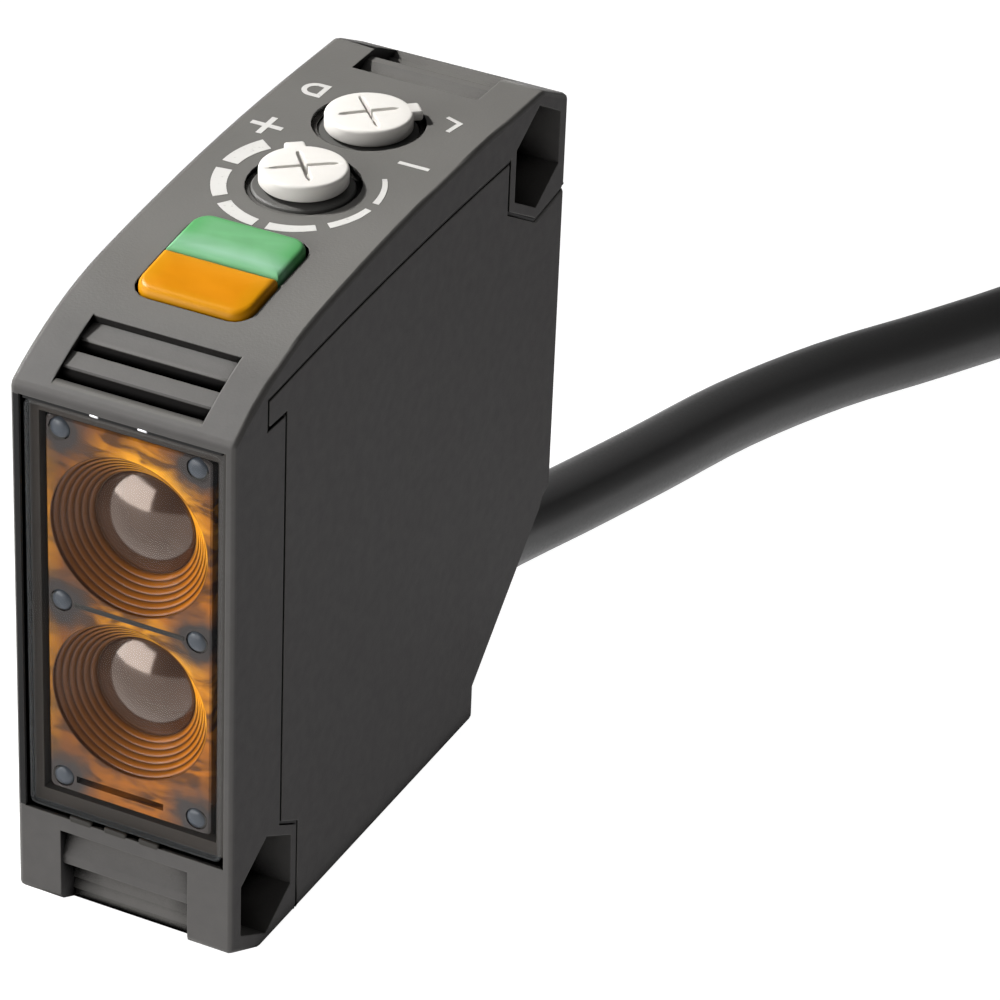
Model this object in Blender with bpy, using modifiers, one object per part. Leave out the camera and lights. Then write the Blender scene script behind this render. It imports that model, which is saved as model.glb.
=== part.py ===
"""Slim block photoelectric sensor: case, optics, boards, adjusters and its tied-up cable.

Lengths are written in millimetres and turned into metres by MM. Places are (x, depth, height):
x is across the sensor, depth runs back from its front face and height runs up from its bottom face.
"""

import math

import bmesh
import bpy
from mathutils import Matrix, Vector

MM = 0.001

# Outer size
WIDTH, DEPTH, HEIGHT = 17.4, 50.0, 50.0
SIDE = WIDTH / 2
GAP = 0.3
WALL = 1.5
EDGE = 0.4  # rounding of the outer edges
SEAM_SHARE = 0.2  # the edges along the seam are rounded by this share of it

# Side profile
CORNER_RISE, CORNER_RUN = 2.07, 4.14  # chamfers at the front foot and, turned half round, the rear top
FOOT_END, FOOT_STEP = 37.8, 2.9  # the bottom face ends here, with a small upright step
SLOPE_TOP = (48.4, 13.0)  # upper end of the sloping face that the cable leaves through
LIP_BOTTOM = 14.4  # lower end of the rear face
TOP_FLAT_FROM = 40.0
TOP_BREAK = 12.0  # the long shallow arc of the top meets the short steep one here
LONG_ARC, SHORT_ARC = 200.0, 31.0

# Mounting holes: M4 clearance, a nut pocket at each end
HOLES = ((5.0, 5.0), (45.0, 45.0))
HOLE_R = 2.2
NUT_FLATS = 7.3
NUT_DEPTH = 3.4
RIM = 0.75

# Seam between the cover and the case
SEAM_FRONT, SEAM_JOG, SEAM_STEP_HEIGHT = 6.9, 4.4, 42.5
SEAM_REAR, SEAM_HIGH, SEAM_ARC = 39.2, 46.75, 357.0

# Window
WINDOW_HALF, WINDOW_LOW, WINDOW_HIGH = 8.0, 9.2, 42.9
WINDOW_RECESS = 1.9
PANE_FRONT, PANE_BACK = 0.12, 0.6
OPENING_HALF, OPENING_LOW, OPENING_HIGH = 6.95, 10.6, 41.5
BEZEL_BACK = 2.9
LENS_HEIGHTS = (20.0, 33.4)
LENS_FACE, LENS_BACK = PANE_BACK + GAP, 3.3

# Adjusters
ADJUSTERS = {"sensitivity": 25.2, "mode": 34.9}
KNOB_TOP, KNOB_R, KNOB_THICK, NECK_R = 50.9, 3.2, 1.3, 2.5
RING_R, RING_SUNK, WELL_R, WELL_FLOOR = 4.15, 0.4, 3.7, 48.1
STEM_R, SEAL_BORE_R, SHAFT_BORE_R = 1.5, 3.0, 1.85
CEILING = 46.95

# Indicator
LAMP_HALF, LAMP_FRONT, LAMP_SPLIT, LAMP_REAR, LAMP_PROUD = 4.45, 8.9, 13.5, 18.4, 0.55
LAMP_CORNER = 1.4

# Louvres at the top's front edge: (depth, how far they are sunk)
LOUVRE_HALF = 5.75
LOUVRES = (
    (0.4, -1.0),
    (0.45, 0.0),
    (1.1, 0.1),
    (1.15, 1.0),
    (1.75, 1.0),
    (1.85, 0.45),
    (2.15, 0.42),
    (2.2, 0.22),
    (3.45, 0.35),
    (3.5, 1.6),
    (4.1, 1.6),
    (4.2, 0.6),
    (4.5, 0.58),
    (4.55, 0.35),
    (6.2, 0.6),
    (6.3, -1.0),
)

# Bracket grooves
GROOVE_HALF, GROOVE_LENGTH = 5.15, 8.0

# Boards
CONTROL_BOARD = (42.0, 43.0)
OPTICS_BOARD = (12.2, 13.2)
MAIN_BOARD_X = (-6.2, -5.0)

# Cable
CABLE_R = 3.0
EXIT = (0.0, 43.6, 8.1)
EXIT_SLOPE = math.radians(35)
EXIT_DIRECTION = Vector((0, math.cos(EXIT_SLOPE), -math.sin(EXIT_SLOPE)))
HANK_BASE = 1.2
TURN_RADII = (20.0, 26.0)
HANK_X, HANK_NEAR, HANK_RUN, HANK_LAYERS = 8.0, 191.0, 38.0, 4
TIE_WIDE, TIE_THICK = 3.2, 0.85
CORES = ("brown", "blue", "white", "black", "grey")

CHARCOAL = (0.045, 0.043, 0.041, 1)


def place(x, depth, height):
    return Vector((x, depth - DEPTH / 2, height)) * MM


def clear_scene():
    for obj in list(bpy.data.objects):
        bpy.data.objects.remove(obj)
    for name in ("photoelectric_sensor", "cutters"):
        group = bpy.data.collections.new(name)
        bpy.context.scene.collection.children.link(group)


def material(name, colour, roughness=0.5, metallic=0.0, alpha=1.0):
    found = bpy.data.materials.get(name)
    if found:
        return found
    made = bpy.data.materials.new(name)
    made.use_nodes = True
    shader = made.node_tree.nodes["Principled BSDF"]
    shader.inputs["Base Color"].default_value = (*colour[:3], 1)
    shader.inputs["Roughness"].default_value = roughness
    shader.inputs["Metallic"].default_value = metallic
    shader.inputs["Alpha"].default_value = alpha
    made.diffuse_color = (*colour[:3], alpha)
    return made


MATERIALS = {
    "housing": (CHARCOAL, 0.55, 0.0, 1.0),
    "window": ((0.75, 0.78, 0.8), 0.05, 0.0, 0.25),
    "amber": ((0.75, 0.25, 0.03), 0.12, 0.0, 0.85),
    "black": ((0.02, 0.02, 0.02), 0.5, 0.0, 1.0),
    "green": ((0.2, 0.75, 0.4), 0.25, 0.0, 1.0),
    "orange": ((1.0, 0.45, 0.0), 0.25, 0.0, 1.0),
    "white": ((0.85, 0.83, 0.78), 0.35, 0.0, 1.0),
    "rubber": ((0.03, 0.03, 0.03), 0.75, 0.0, 1.0),
    "board": ((0.02, 0.16, 0.07), 0.4, 0.0, 1.0),
    "metal": ((0.65, 0.65, 0.66), 0.3, 1.0, 1.0),
    "copper": ((0.72, 0.38, 0.2), 0.35, 1.0, 1.0),
    "blue": ((0.05, 0.12, 0.5), 0.5, 0.0, 1.0),
    "brown": ((0.16, 0.07, 0.03), 0.5, 0.0, 1.0),
    "grey": ((0.3, 0.3, 0.3), 0.5, 0.0, 1.0),
    "cable": ((0.03, 0.03, 0.032), 0.6, 0.0, 1.0),
}


def finish(obj, slot):
    """The object gets its material. Round pieces are shaded smooth, the flat-sided housing isn't."""
    obj.data.materials.clear()
    obj.data.materials.append(material(slot, *MATERIALS[slot]))
    if obj.type == "MESH" and slot != "housing":
        obj.data.shade_smooth()
        obj.data.set_sharp_from_angle(angle=math.radians(35))
    return obj


def link(obj, group="photoelectric_sensor"):
    bpy.data.collections[group].objects.link(obj)
    if group == "cutters":
        obj.hide_render = True
        obj.display_type = "WIRE"
    return obj


def from_bmesh(name, shape, group):
    mesh = bpy.data.meshes.new(name)
    shape.to_mesh(mesh)
    shape.free()
    return link(bpy.data.objects.new(name, mesh), group)


def box(name, low, high, group="photoelectric_sensor"):
    """An upright box between two corners, each (x, depth, height)."""
    a, b = place(*low), place(*high)
    shape = bmesh.new()
    bmesh.ops.create_cube(shape, size=1)
    bmesh.ops.scale(shape, vec=b - a, verts=shape.verts)
    obj = from_bmesh(name, shape, group)
    obj.location = (a + b) / 2
    return obj


def rod(name, start, end, radius, group="photoelectric_sensor", sides=24, end_radius=None):
    """A cylinder or cone from one place to another."""
    a, b = place(*start), place(*end)
    shape = bmesh.new()
    bmesh.ops.create_cone(
        shape,
        cap_ends=True,
        segments=sides,
        radius1=radius * MM,
        radius2=(radius if end_radius is None else end_radius) * MM,
        depth=(b - a).length,
    )
    obj = from_bmesh(name, shape, group)
    obj.location = (a + b) / 2
    obj.rotation_euler = (b - a).to_track_quat("Z", "Y").to_euler()
    return obj


def turned(name, profile, x, depth, group="photoelectric_sensor", steps=32):
    """A round piece about an upright axis. The profile is (radius, height), down its outer side."""
    shape = bmesh.new()
    base = profile[-1][1]
    points = [shape.verts.new((r * MM, 0, (z - base) * MM)) for r, z in profile]
    for first, second in zip(points, points[1:]):
        shape.edges.new((first, second))
    if profile[0][0] > 0:
        shape.edges.new((points[-1], points[0]))
    obj = from_bmesh(name, shape, group)
    obj.location = place(x, depth, base)
    screw = obj.modifiers.new("turn", "SCREW")
    screw.steps = screw.render_steps = steps
    screw.use_merge_vertices = True
    screw.merge_threshold = 0.00001
    return obj


def prism(name, outline, low, high, group="photoelectric_sensor", across=False):
    """An outline of (depth, height) points, filled and extruded across x from low to high.
    With across, the outline is (x, height) and is extruded along depth instead."""
    data = bpy.data.curves.new(name, "CURVE")
    data.dimensions = "2D"
    data.fill_mode = "BOTH"
    data.extrude = abs(high - low) / 2 * MM
    spline = data.splines.new("POLY")
    spline.points.add(len(outline) - 1)
    for point, (u, v) in zip(spline.points, outline):
        point.co = (u * MM, v * MM, 0, 1)
    spline.use_cyclic_u = True
    curve = bpy.data.objects.new(name, data)
    bpy.data.collections["cutters"].objects.link(curve)
    middle = (low + high) / 2
    if across:
        curve.matrix_world = Matrix(((1, 0, 0), (0, 0, -1), (0, 1, 0))).to_4x4()
        curve.location = place(0, middle, 0)
    else:
        curve.matrix_world = Matrix(((0, 0, 1), (1, 0, 0), (0, 1, 0))).to_4x4()
        curve.location = place(middle, 0, 0)
    bpy.context.view_layer.update()
    graph = bpy.context.evaluated_depsgraph_get()
    mesh = bpy.data.meshes.new_from_object(curve.evaluated_get(graph))
    shape = bmesh.new()
    shape.from_mesh(mesh)
    bmesh.ops.remove_doubles(shape, verts=shape.verts, dist=0.000001)
    bmesh.ops.dissolve_limit(shape, angle_limit=0.001, verts=shape.verts, edges=shape.edges)
    bmesh.ops.recalc_face_normals(shape, faces=shape.faces)
    shape.to_mesh(mesh)
    shape.free()
    obj = bpy.data.objects.new(name, mesh)
    obj.matrix_world = curve.matrix_world
    mesh.name = name
    bpy.data.objects.remove(curve)
    obj.name = name
    return link(obj, group)


def tube(name, places, radius, slot, bevel=2):
    """A round cord along a list of places."""
    data = bpy.data.curves.new(name, "CURVE")
    data.dimensions = "3D"
    data.bevel_depth = radius * MM
    data.bevel_resolution = bevel
    data.use_fill_caps = True
    spline = data.splines.new("POLY")
    spline.points.add(len(places) - 1)
    for point, where in zip(spline.points, places):
        point.co = (*place(*where), 1)
    return finish(link(bpy.data.objects.new(name, data)), slot)


def round_edges(obj, width, segments=2, angle=25):
    edges = obj.modifiers.new("edges", "BEVEL")
    edges.width = width * MM
    edges.segments = segments
    edges.limit_method = "ANGLE"
    edges.angle_limit = math.radians(angle)
    edges.harden_normals = False
    return obj


def round_outline(obj, seam_line):
    """Rounds a prism's outer edges, and only breaks the ones along the seam."""
    shape = bmesh.new()
    shape.from_mesh(obj.data)
    weights = shape.edges.layers.float.new("bevel_weight_edge")
    for edge in shape.edges:
        if edge.calc_face_angle(0) < math.radians(25):
            continue
        depths = [(v.co.x / MM, v.co.y / MM) for v in edge.verts]
        on_seam = all(any(math.dist(at, point) < 0.01 for point in seam_line) for at in depths)
        edge[weights] = SEAM_SHARE if on_seam else 1.0
    shape.to_mesh(obj.data)
    shape.free()
    edges = obj.modifiers.new("edges", "BEVEL")
    edges.width = EDGE * MM
    edges.segments = 2
    edges.limit_method = "WEIGHT"
    return obj


def cut(obj, cutter, operation="DIFFERENCE"):
    boolean = obj.modifiers.new(operation.lower(), "BOOLEAN")
    boolean.operation = operation
    boolean.object = cutter
    boolean.solver = "EXACT"
    return obj


def join(obj, other):
    return cut(obj, other, "UNION")


def arc(centre, radius, start, end, steps):
    """Points along an arc, angles in degrees."""
    return [
        (
            centre[0] + radius * math.cos(math.radians(start + (end - start) * i / steps)),
            centre[1] + radius * math.sin(math.radians(start + (end - start) * i / steps)),
        )
        for i in range(steps + 1)
    ]


def top_height(depth):
    """Height of the top face: flat at the rear, a long shallow arc, then a short steep one."""
    if depth >= TOP_FLAT_FROM:
        return HEIGHT
    run = TOP_FLAT_FROM - max(depth, TOP_BREAK)
    height = HEIGHT - LONG_ARC + math.sqrt(LONG_ARC**2 - run**2)
    if depth >= TOP_BREAK:
        return height
    lean = math.asin((TOP_FLAT_FROM - TOP_BREAK) / LONG_ARC)
    centre_depth = TOP_BREAK + SHORT_ARC * math.sin(lean)
    centre_height = height - SHORT_ARC * math.cos(lean)
    return centre_height + math.sqrt(SHORT_ARC**2 - (depth - centre_depth) ** 2)


def top_line(start, end, steps, raised=0.0):
    return [
        (start + (end - start) * i / steps, top_height(start + (end - start) * i / steps) + raised)
        for i in range(steps + 1)
    ]


def seam_height(depth):
    return SEAM_HIGH - SEAM_ARC + math.sqrt(SEAM_ARC**2 - (SEAM_REAR - depth) ** 2)


def seam():
    """The cover's edge as seen from the side, from the bottom face round to the rear face."""
    half = NUT_FLATS / 2 + RIM
    tip = half / math.cos(math.radians(30))
    (low_depth, low_height), (high_depth, high_height) = HOLES
    corner = low_depth + half
    steps = 10
    depths = [SEAM_JOG + (SEAM_REAR - SEAM_JOG) * i / steps for i in range(steps + 1)]
    arc_line = [(depth, seam_height(depth)) for depth in depths]
    return [
        (corner, 0),
        (corner, low_height + tip / 2),
        (SEAM_FRONT, low_height + tip / 2 + (corner - SEAM_FRONT) * math.tan(math.radians(30))),
        (SEAM_FRONT, SEAM_STEP_HEIGHT),
        (SEAM_JOG, SEAM_STEP_HEIGHT),
        *arc_line,
        (high_depth - half, SEAM_HIGH),
        (high_depth - half, high_height - tip / 2),
        (high_depth, high_height - tip),
        (DEPTH, high_height - tip + 0.7),
    ]


def shifted(line, distance):
    """The line moved sideways, to its right, with mitred corners."""
    moved = []
    for i, point in enumerate(line):
        before = Vector(point) - Vector(line[i - 1]) if i > 0 else None
        after = Vector(line[i + 1]) - Vector(point) if i + 1 < len(line) else None
        sides = [Vector((d.y, -d.x)).normalized() for d in (before, after) if d is not None]
        normal = sum(sides, Vector((0, 0))).normalized()
        moved.append(tuple(Vector(point) + normal * distance / normal.dot(sides[0])))
    return moved


def cover_outline():
    front = [(0, CORNER_RISE), (CORNER_RUN, 0)]
    rear_top = [(DEPTH, HEIGHT - CORNER_RISE), (DEPTH - CORNER_RUN, HEIGHT)]
    top = top_line(0, TOP_BREAK, 8)[:-1] + top_line(TOP_BREAK, TOP_FLAT_FROM, 10)
    return front + seam() + rear_top + top[::-1]


def case_outline():
    edge = shifted(seam(), GAP)
    edge[0] = (edge[0][0], 0)
    edge[-1] = (DEPTH, edge[-1][1])
    rear = [
        (FOOT_END, 0),
        (FOOT_END, FOOT_STEP),
        SLOPE_TOP,
        (SLOPE_TOP[0] + 0.5, SLOPE_TOP[1] + 0.9),
        (DEPTH, LIP_BOTTOM),
    ]
    return edge[:1] + rear + edge[:0:-1]


def both_sides(name, outline, inner, outer):
    """Two like plates at +x and -x, as one helper object."""
    plate = prism(name, outline, inner, outer, "cutters")
    mirror = plate.modifiers.new("pair", "MIRROR")
    mirror.use_axis = (True, False, False)
    mirror.merge_threshold = 0.00001
    centre = bpy.data.objects.new(name + "_centre", None)
    link(centre, "cutters")
    mirror.mirror_object = centre
    return plate


def hexagon(centre, flats):
    """A hexagon with its flats upright."""
    return arc(centre, flats / 2 / math.cos(math.radians(30)), 30, 330, 5)


def groove_profile():
    """The bracket groove's ramp, rib and toothed floor: (depth into the face, way from the corner)."""
    teeth = []
    pitch, tooth, first = 0.95, 0.4, 4.6
    for i in range(4):
        start = first - pitch * i
        teeth += [(2.1, start), (2.1 - tooth, start - pitch * 0.75)]
    ramp = [(-1, GROOVE_LENGTH), (1.4, GROOVE_LENGTH), (0.35, 5.7), (0.35, 5.0)]
    return ramp + teeth + [(2.1, -1), (-1, -1)]


def make_cover():
    cover = prism("front_top_cover", cover_outline(), -SIDE, SIDE)
    round_outline(cover, seam())
    recess = ((-WINDOW_HALF, -2, WINDOW_LOW), (WINDOW_HALF, WINDOW_RECESS, WINDOW_HIGH))
    cut(cover, box("window_recess", *recess, "cutters"))
    opening = ((-OPENING_HALF, 0, OPENING_LOW), (OPENING_HALF, BEZEL_BACK + 1, OPENING_HIGH))
    cut(cover, box("window_opening", *opening, "cutters"))
    half = SIDE - 1.1
    inside = [
        (BEZEL_BACK, 10.3),
        (SEAM_FRONT + 6, 10.3),
        (60, 30),
        (39, 36),
        (38.9, CEILING),
        (19, CEILING),
        (TOP_BREAK, 46.3),
        (SEAM_FRONT, 45.4),
        (BEZEL_BACK + 2.2, 42.6),
        (BEZEL_BACK, 41.9),
    ]
    cut(cover, prism("cover_inside", inside, -half, half, "cutters"))
    for where, (depth, height) in zip(("low", "high"), HOLES):
        nut = hexagon((depth, height), NUT_FLATS)
        cut(cover, both_sides(where + "_nut_pockets", nut, SIDE - NUT_DEPTH, SIDE + 2))
        ends = ((-SIDE - 1, depth, height), (SIDE + 1, depth, height))
        cut(cover, rod(where + "_hole", *ends, HOLE_R, "cutters", 24))
    low_groove = groove_profile()
    high_groove = [(DEPTH - along, HEIGHT - into) for into, along in groove_profile()]
    cut(cover, prism("low_groove", low_groove, -GROOVE_HALF, GROOVE_HALF, "cutters"))
    cut(cover, prism("high_groove", high_groove, -GROOVE_HALF, GROOVE_HALF, "cutters"))
    louvres = [(depth, top_height(depth) - sunk) for depth, sunk in LOUVRES]
    cut(cover, prism("louvres", louvres, -LOUVRE_HALF, LOUVRE_HALF, "cutters"))
    for name, depth in ADJUSTERS.items():
        bores = (
            ("_ring", top_height(depth) - RING_SUNK, HEIGHT + 2, RING_R, 32),
            ("_well", WELL_FLOOR, HEIGHT + 2, WELL_R, 32),
            ("_seal_bore", WELL_FLOOR - 0.75, WELL_FLOOR + 1, SEAL_BORE_R, 24),
            ("_shaft_bore", CEILING - 3, WELL_FLOOR, SHAFT_BORE_R, 24),
        )
        for kind, low, high, radius, sides in bores:
            cut(cover, rod(name + kind, (0, depth, low), (0, depth, high), radius, "cutters", sides))
    lamp_gap = 0.2
    lamp_hole = box(
        "lamp_hole",
        (-LAMP_HALF - lamp_gap, LAMP_FRONT - lamp_gap, 40),
        (LAMP_HALF + lamp_gap, LAMP_REAR + lamp_gap, 55),
        "cutters",
    )
    round_upright(lamp_hole, LAMP_CORNER + 0.1)
    cut(cover, lamp_hole)
    lap = [(d, seam_height(d) - 1.6) for d in (19.5, 38.4)]
    lap += [(38.4, CEILING + 0.5), (19.5, CEILING + 0.5)]
    join(cover, both_sides("cover_laps", lap, 6.1, 6.85))
    return finish(cover, "housing")


def round_upright(obj, radius, segments=4):
    """Rounds the four upright edges of a box in place."""
    shape = bmesh.new()
    shape.from_mesh(obj.data)
    upright = [e for e in shape.edges if abs(e.verts[0].co.z - e.verts[1].co.z) > 1e-6]
    rounding = {"offset": radius * MM, "segments": segments, "profile": 0.5, "affect": "EDGES"}
    bmesh.ops.bevel(shape, geom=upright, **rounding)
    shape.to_mesh(obj.data)
    shape.free()
    return obj


def make_case():
    case = prism("main_case", case_outline(), -SIDE, SIDE)
    round_outline(case, shifted(seam(), GAP))
    inside = [
        (3, WALL),
        (FOOT_END - 1.0, WALL),
        (FOOT_END - 1.0, FOOT_STEP + 0.8),
        (DEPTH - WALL, LIP_BOTTOM + 1.2),
        (DEPTH - WALL, 60),
        (3, 60),
    ]
    half = SIDE - WALL
    cut(case, prism("case_inside", inside, -half, half, "cutters"))
    lap = [(5.4, 11.2), (8.6, 11.2), (8.6, 41.2), (5.4, 41.2)]
    join(case, both_sides("case_laps", lap, half - 0.3, half + 0.1))
    for height in (20.0, 36.0):
        ends = ((-half - 0.2, 40.0, height), (MAIN_BOARD_X[0] - GAP, 40.0, height))
        join(case, rod("board_boss", *ends, 1.6, "cutters", 16))
    cut(case, rod("cable_hole", along_exit(-6), along_exit(6), 4.15, "cutters", 24))
    return finish(case, "housing")


def along_exit(distance):
    """A place on the axis of the cable's way out, counted from the case's rear face."""
    return tuple(Vector(EXIT) + EXIT_DIRECTION * distance)


def make_window():
    low = (-WINDOW_HALF + GAP, PANE_FRONT, WINDOW_LOW + GAP)
    high = (WINDOW_HALF - GAP, PANE_BACK, WINDOW_HIGH - GAP)
    window = round_edges(box("window_cover", low, high), 0.15, 1)
    front, rear = PANE_BACK + GAP, WINDOW_RECESS - 0.1
    gasket = box("window_gasket", (low[0], front, low[2]), (high[0], rear, high[2]))
    low, high = (-OPENING_HALF, 0, OPENING_LOW), (OPENING_HALF, 5, OPENING_HIGH)
    hole = box("gasket_hole", low, high, "cutters")
    cut(gasket, hole)
    finish(gasket, "rubber")
    return finish(window, "window")


def pins():
    """Where the lens holder's six stakes stand, as (x, height)."""
    return [(side * 5.5, height) for height in (12.1, 26.7, 40.2) for side in (-1, 1)]


def make_optics():
    half, low, high = OPENING_HALF - 0.35, OPENING_LOW + 0.35, OPENING_HIGH - 0.35
    lens = box("lens_plate", (-half, LENS_FACE, low), (half, LENS_BACK, high))
    radius, bulge = 5.2, 1.15
    sphere = (radius**2 + bulge**2) / (2 * bulge)
    spread = 90 - math.degrees(math.asin(radius / sphere))
    bulb = [(max(r, 0.0), z + bulge - sphere) for r, z in arc((0, 0), sphere, 90, spread, 5)]
    for i, height in enumerate(LENS_HEIGHTS):
        dome = turned(f"lens_dome_{i}", bulb + [(radius, -0.8), (0, -0.8)], 0, 0, "cutters", 32)
        dome.location = place(0, LENS_BACK - 0.81, height)
        dome.rotation_euler = (math.radians(-90), 0, 0)
        join(lens, dome)
    for i, (x, height) in enumerate(pins()):
        cut(lens, rod(f"pin_hole_{i}", (x, 0, height), (x, 6, height), 1.05, "cutters", 16))
    finish(lens, "amber")

    holder = box("lens_holder", (-6.6, 4.9, 10.7), (6.6, 11.0, 41.4))
    for i, height in enumerate(LENS_HEIGHTS):
        ends = ((0, 3.0, height), (0, 13.0, height))
        cut(holder, rod(f"light_cone_{i}", *ends, 6.1, "cutters", 32, end_radius=2.4))
    for i, (x, height) in enumerate(pins()):
        join(holder, rod(f"pin_{i}", (x, LENS_FACE, height), (x, 6, height), 0.7, "cutters", 16))
    finish(holder, "black")

    board = box("optics_board", (-6.6, OPTICS_BOARD[0], 11.0), (6.6, OPTICS_BOARD[1], 41.0))
    finish(board, "board")
    front = OPTICS_BOARD[0] - GAP
    chips = (("emitter_led", 1.5, "white"), ("receiver_photodiode", 1.3, "black"))
    for (name, half, slot), height in zip(chips, LENS_HEIGHTS):
        finish(box(name, (-half, 10.6, height - 1.3), (half, front, height + 1.3)), slot)
    shield = box("receiver_shield", (-4.6, 13.5, 28.6), (4.6, 16.0, 38.4))
    finish(round_edges(shield, 0.3, 1), "metal")
    link_block = box("optics_connector", (-3.2, 13.5, 16.0), (3.2, 15.6, 19.0))
    finish(link_block, "white")


def lamp_half(name, front, rear, slot):
    """One colour of the indicator: a clear block that stands a little proud of the top face."""
    outline = [(rear, 44.6), *reversed(top_line(front, rear, 4, LAMP_PROUD)), (front, 44.6)]
    block = prism(name, outline, -LAMP_HALF, LAMP_HALF)
    body = box(name + "_body", (-LAMP_HALF, LAMP_FRONT, 40), (LAMP_HALF, LAMP_REAR, 55), "cutters")
    cut(block, round_upright(body, LAMP_CORNER), "INTERSECT")
    round_edges(block, 0.4, 2, 60)
    return finish(block, slot)


def make_indicator():
    lamp_half("indicator_orange", LAMP_FRONT, LAMP_SPLIT - 0.05, "orange")
    lamp_half("indicator_green", LAMP_SPLIT + 0.05, LAMP_REAR, "green")
    top = CONTROL_BOARD[1] + GAP
    for name, depth, slot in (("orange_led", 14.0, "orange"), ("green_led", 16.6, "green")):
        finish(box(name, (-0.8, depth - 0.6, top), (0.8, depth + 0.6, top + 0.7)), slot)


def make_adjuster(name, depth):
    """A slotted knob, its seal, and the trimmer or switch that its stem turns."""
    chamfer = 0.35
    underside = KNOB_TOP - KNOB_THICK
    profile = [
        (0, KNOB_TOP),
        (KNOB_R - chamfer, KNOB_TOP),
        (KNOB_R, KNOB_TOP - chamfer),
        (KNOB_R, underside),
        (NECK_R, underside),
        (NECK_R, WELL_FLOOR + GAP),
        (STEM_R, WELL_FLOOR + GAP),
        (STEM_R, 45.6),
        (0, 45.6),
    ]
    knob = turned(name + "_knob", profile, 0, depth)
    low, high = (KNOB_R - 0.6, depth - 0.7, KNOB_TOP - 0.65), (KNOB_R + 0.6, depth + 0.7, KNOB_TOP - 0.1)
    tab = box(name + "_tab", low, high, "cutters")
    key = box(name + "_key", (-1.0, depth - 0.4, 44.3), (1.0, depth + 0.4, 46.0), "cutters")
    floor, over = KNOB_TOP - 0.9, KNOB_TOP + 1
    slots = [
        box(name + "_slot", (-2.1, depth - 0.3, floor), (2.1, depth + 0.3, over), "cutters"),
        box(name + "_cross", (-0.3, depth - 2.1, floor), (0.3, depth + 2.1, over), "cutters"),
    ]
    join(join(knob, tab), key)
    for slot in slots:
        cut(knob, slot)
    pointer = {"sensitivity": 129, "mode": 43}[name]
    pivot = bpy.data.objects.new(name + "_axis", None)
    link(pivot)
    pivot.location = place(0, depth, 45.6)
    bpy.context.view_layer.update()
    for piece in (knob, tab, key, *slots):
        piece.parent = pivot
        piece.matrix_parent_inverse = pivot.matrix_world.inverted()
    finish(knob, "white")

    ring = [(2.25 + u, WELL_FLOOR - 0.3 + v) for u, v in arc((0, 0), 0.42, 90, -240, 8)]
    finish(turned(name + "_seal", ring, 0, depth, steps=20), "rubber")

    outline = [(0, 45.3), (1.7, 45.3), (1.7, 43.6), (0, 43.6)]
    rotor = turned(name + "_rotor", outline, 0, depth, steps=20)
    socket = box(name + "_socket", (-1.3, depth - 0.7, 44.0), (1.3, depth + 0.7, 46.0), "cutters")
    cut(rotor, socket)
    for piece in (rotor, socket):
        piece.parent = pivot
        piece.matrix_parent_inverse = pivot.matrix_world.inverted()
    pivot.rotation_euler = (0, 0, math.radians(pointer))
    finish(rotor, "white")

    kind = {"sensitivity": "sensitivity_potentiometer", "mode": "mode_switch"}[name]
    base = CONTROL_BOARD[1] + GAP
    body = box(kind, (-3.3, depth - 3.3, base - 0.25), (3.3, depth + 3.3, base + 1.9))
    cut(body, rod(kind + "_bore", (0, depth, base), (0, depth, 47), 2.0, "cutters", 20))
    finish(body, "blue" if name == "sensitivity" else "black")


def make_boards():
    low, high = (-6.4, 13.6, CONTROL_BOARD[0] - 0.1), (6.4, 38.6, CONTROL_BOARD[1] - 0.05)
    finish(box("control_board", low, high), "board")
    main = box("main_board", (MAIN_BOARD_X[0], 16.6, 4.0), (MAIN_BOARD_X[1], 46.5, 39.2))
    corner = [(34, 2), (50, 2), (50, 19), (47.2, 18), (34, 6)]
    cut(main, prism("board_corner", corner, -8, 0, "cutters"))
    for i, height in enumerate((20.0, 36.0)):
        cut(main, rod(f"screw_hole_{i}", (-8, 40.0, height), (0, 40.0, height), 0.95, "cutters", 16))
    finish(main, "board")
    face = MAIN_BOARD_X[1] + GAP
    pieces = (
        ("output_relay", (face, 19.0, 5.0), (face + 10.0, 29.5, 20.0), "black", 0.4),
        ("isolating_transformer", (face, 19.0, 23.0), (face + 8.6, 31.0, 34.5), "copper", 0.6),
        ("bridge_rectifier", (face, 42.3, 23.0), (face + 2.2, 46.0, 29.0), "black", 0.3),
        ("regulator_ic", (face, 42.0, 31.0), (face + 1.6, 46.0, 34.0), "black", 0.2),
    )
    for name, low, high, slot, rounding in pieces:
        finish(round_edges(box(name, low, high), rounding, 1), slot)
    capacitor = rod("smoothing_capacitor", (0.6, 35.6, 22.5), (0.6, 35.6, 37.5), 3.9, sides=24)
    finish(round_edges(capacitor, 0.4, 1), "grey")
    varistor = rod("surge_varistor", (face, 33.0, 7.2), (face + 2.4, 33.0, 7.2), 2.7, sides=20)
    finish(round_edges(varistor, 0.6, 1), "blue")
    for name, depth in (("board_link_front", 20.0), ("board_link_rear", 31.0)):
        finish(box(name, (face, depth, 38.0), (face + 2.0, depth + 6.0, 41.5)), "black")
    for i, height in enumerate((20.0, 36.0)):
        tip, seat, top = ((x, 40.0, height) for x in (MAIN_BOARD_X[0] - 0.1, face, face + 1.0))
        screw = rod(f"board_screw_{i + 1}", seat, top, 1.5, sides=20)
        shank = rod(f"shank_{i}", tip, (face + 0.5, 40.0, height), 0.65, "cutters", 16)
        low, high = (face + 0.6, 39.8, height - 1.0), (face + 2, 40.2, height + 1.0)
        finish(cut(join(screw, shank), box(f"drive_{i}", low, high, "cutters")), "metal")


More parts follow.
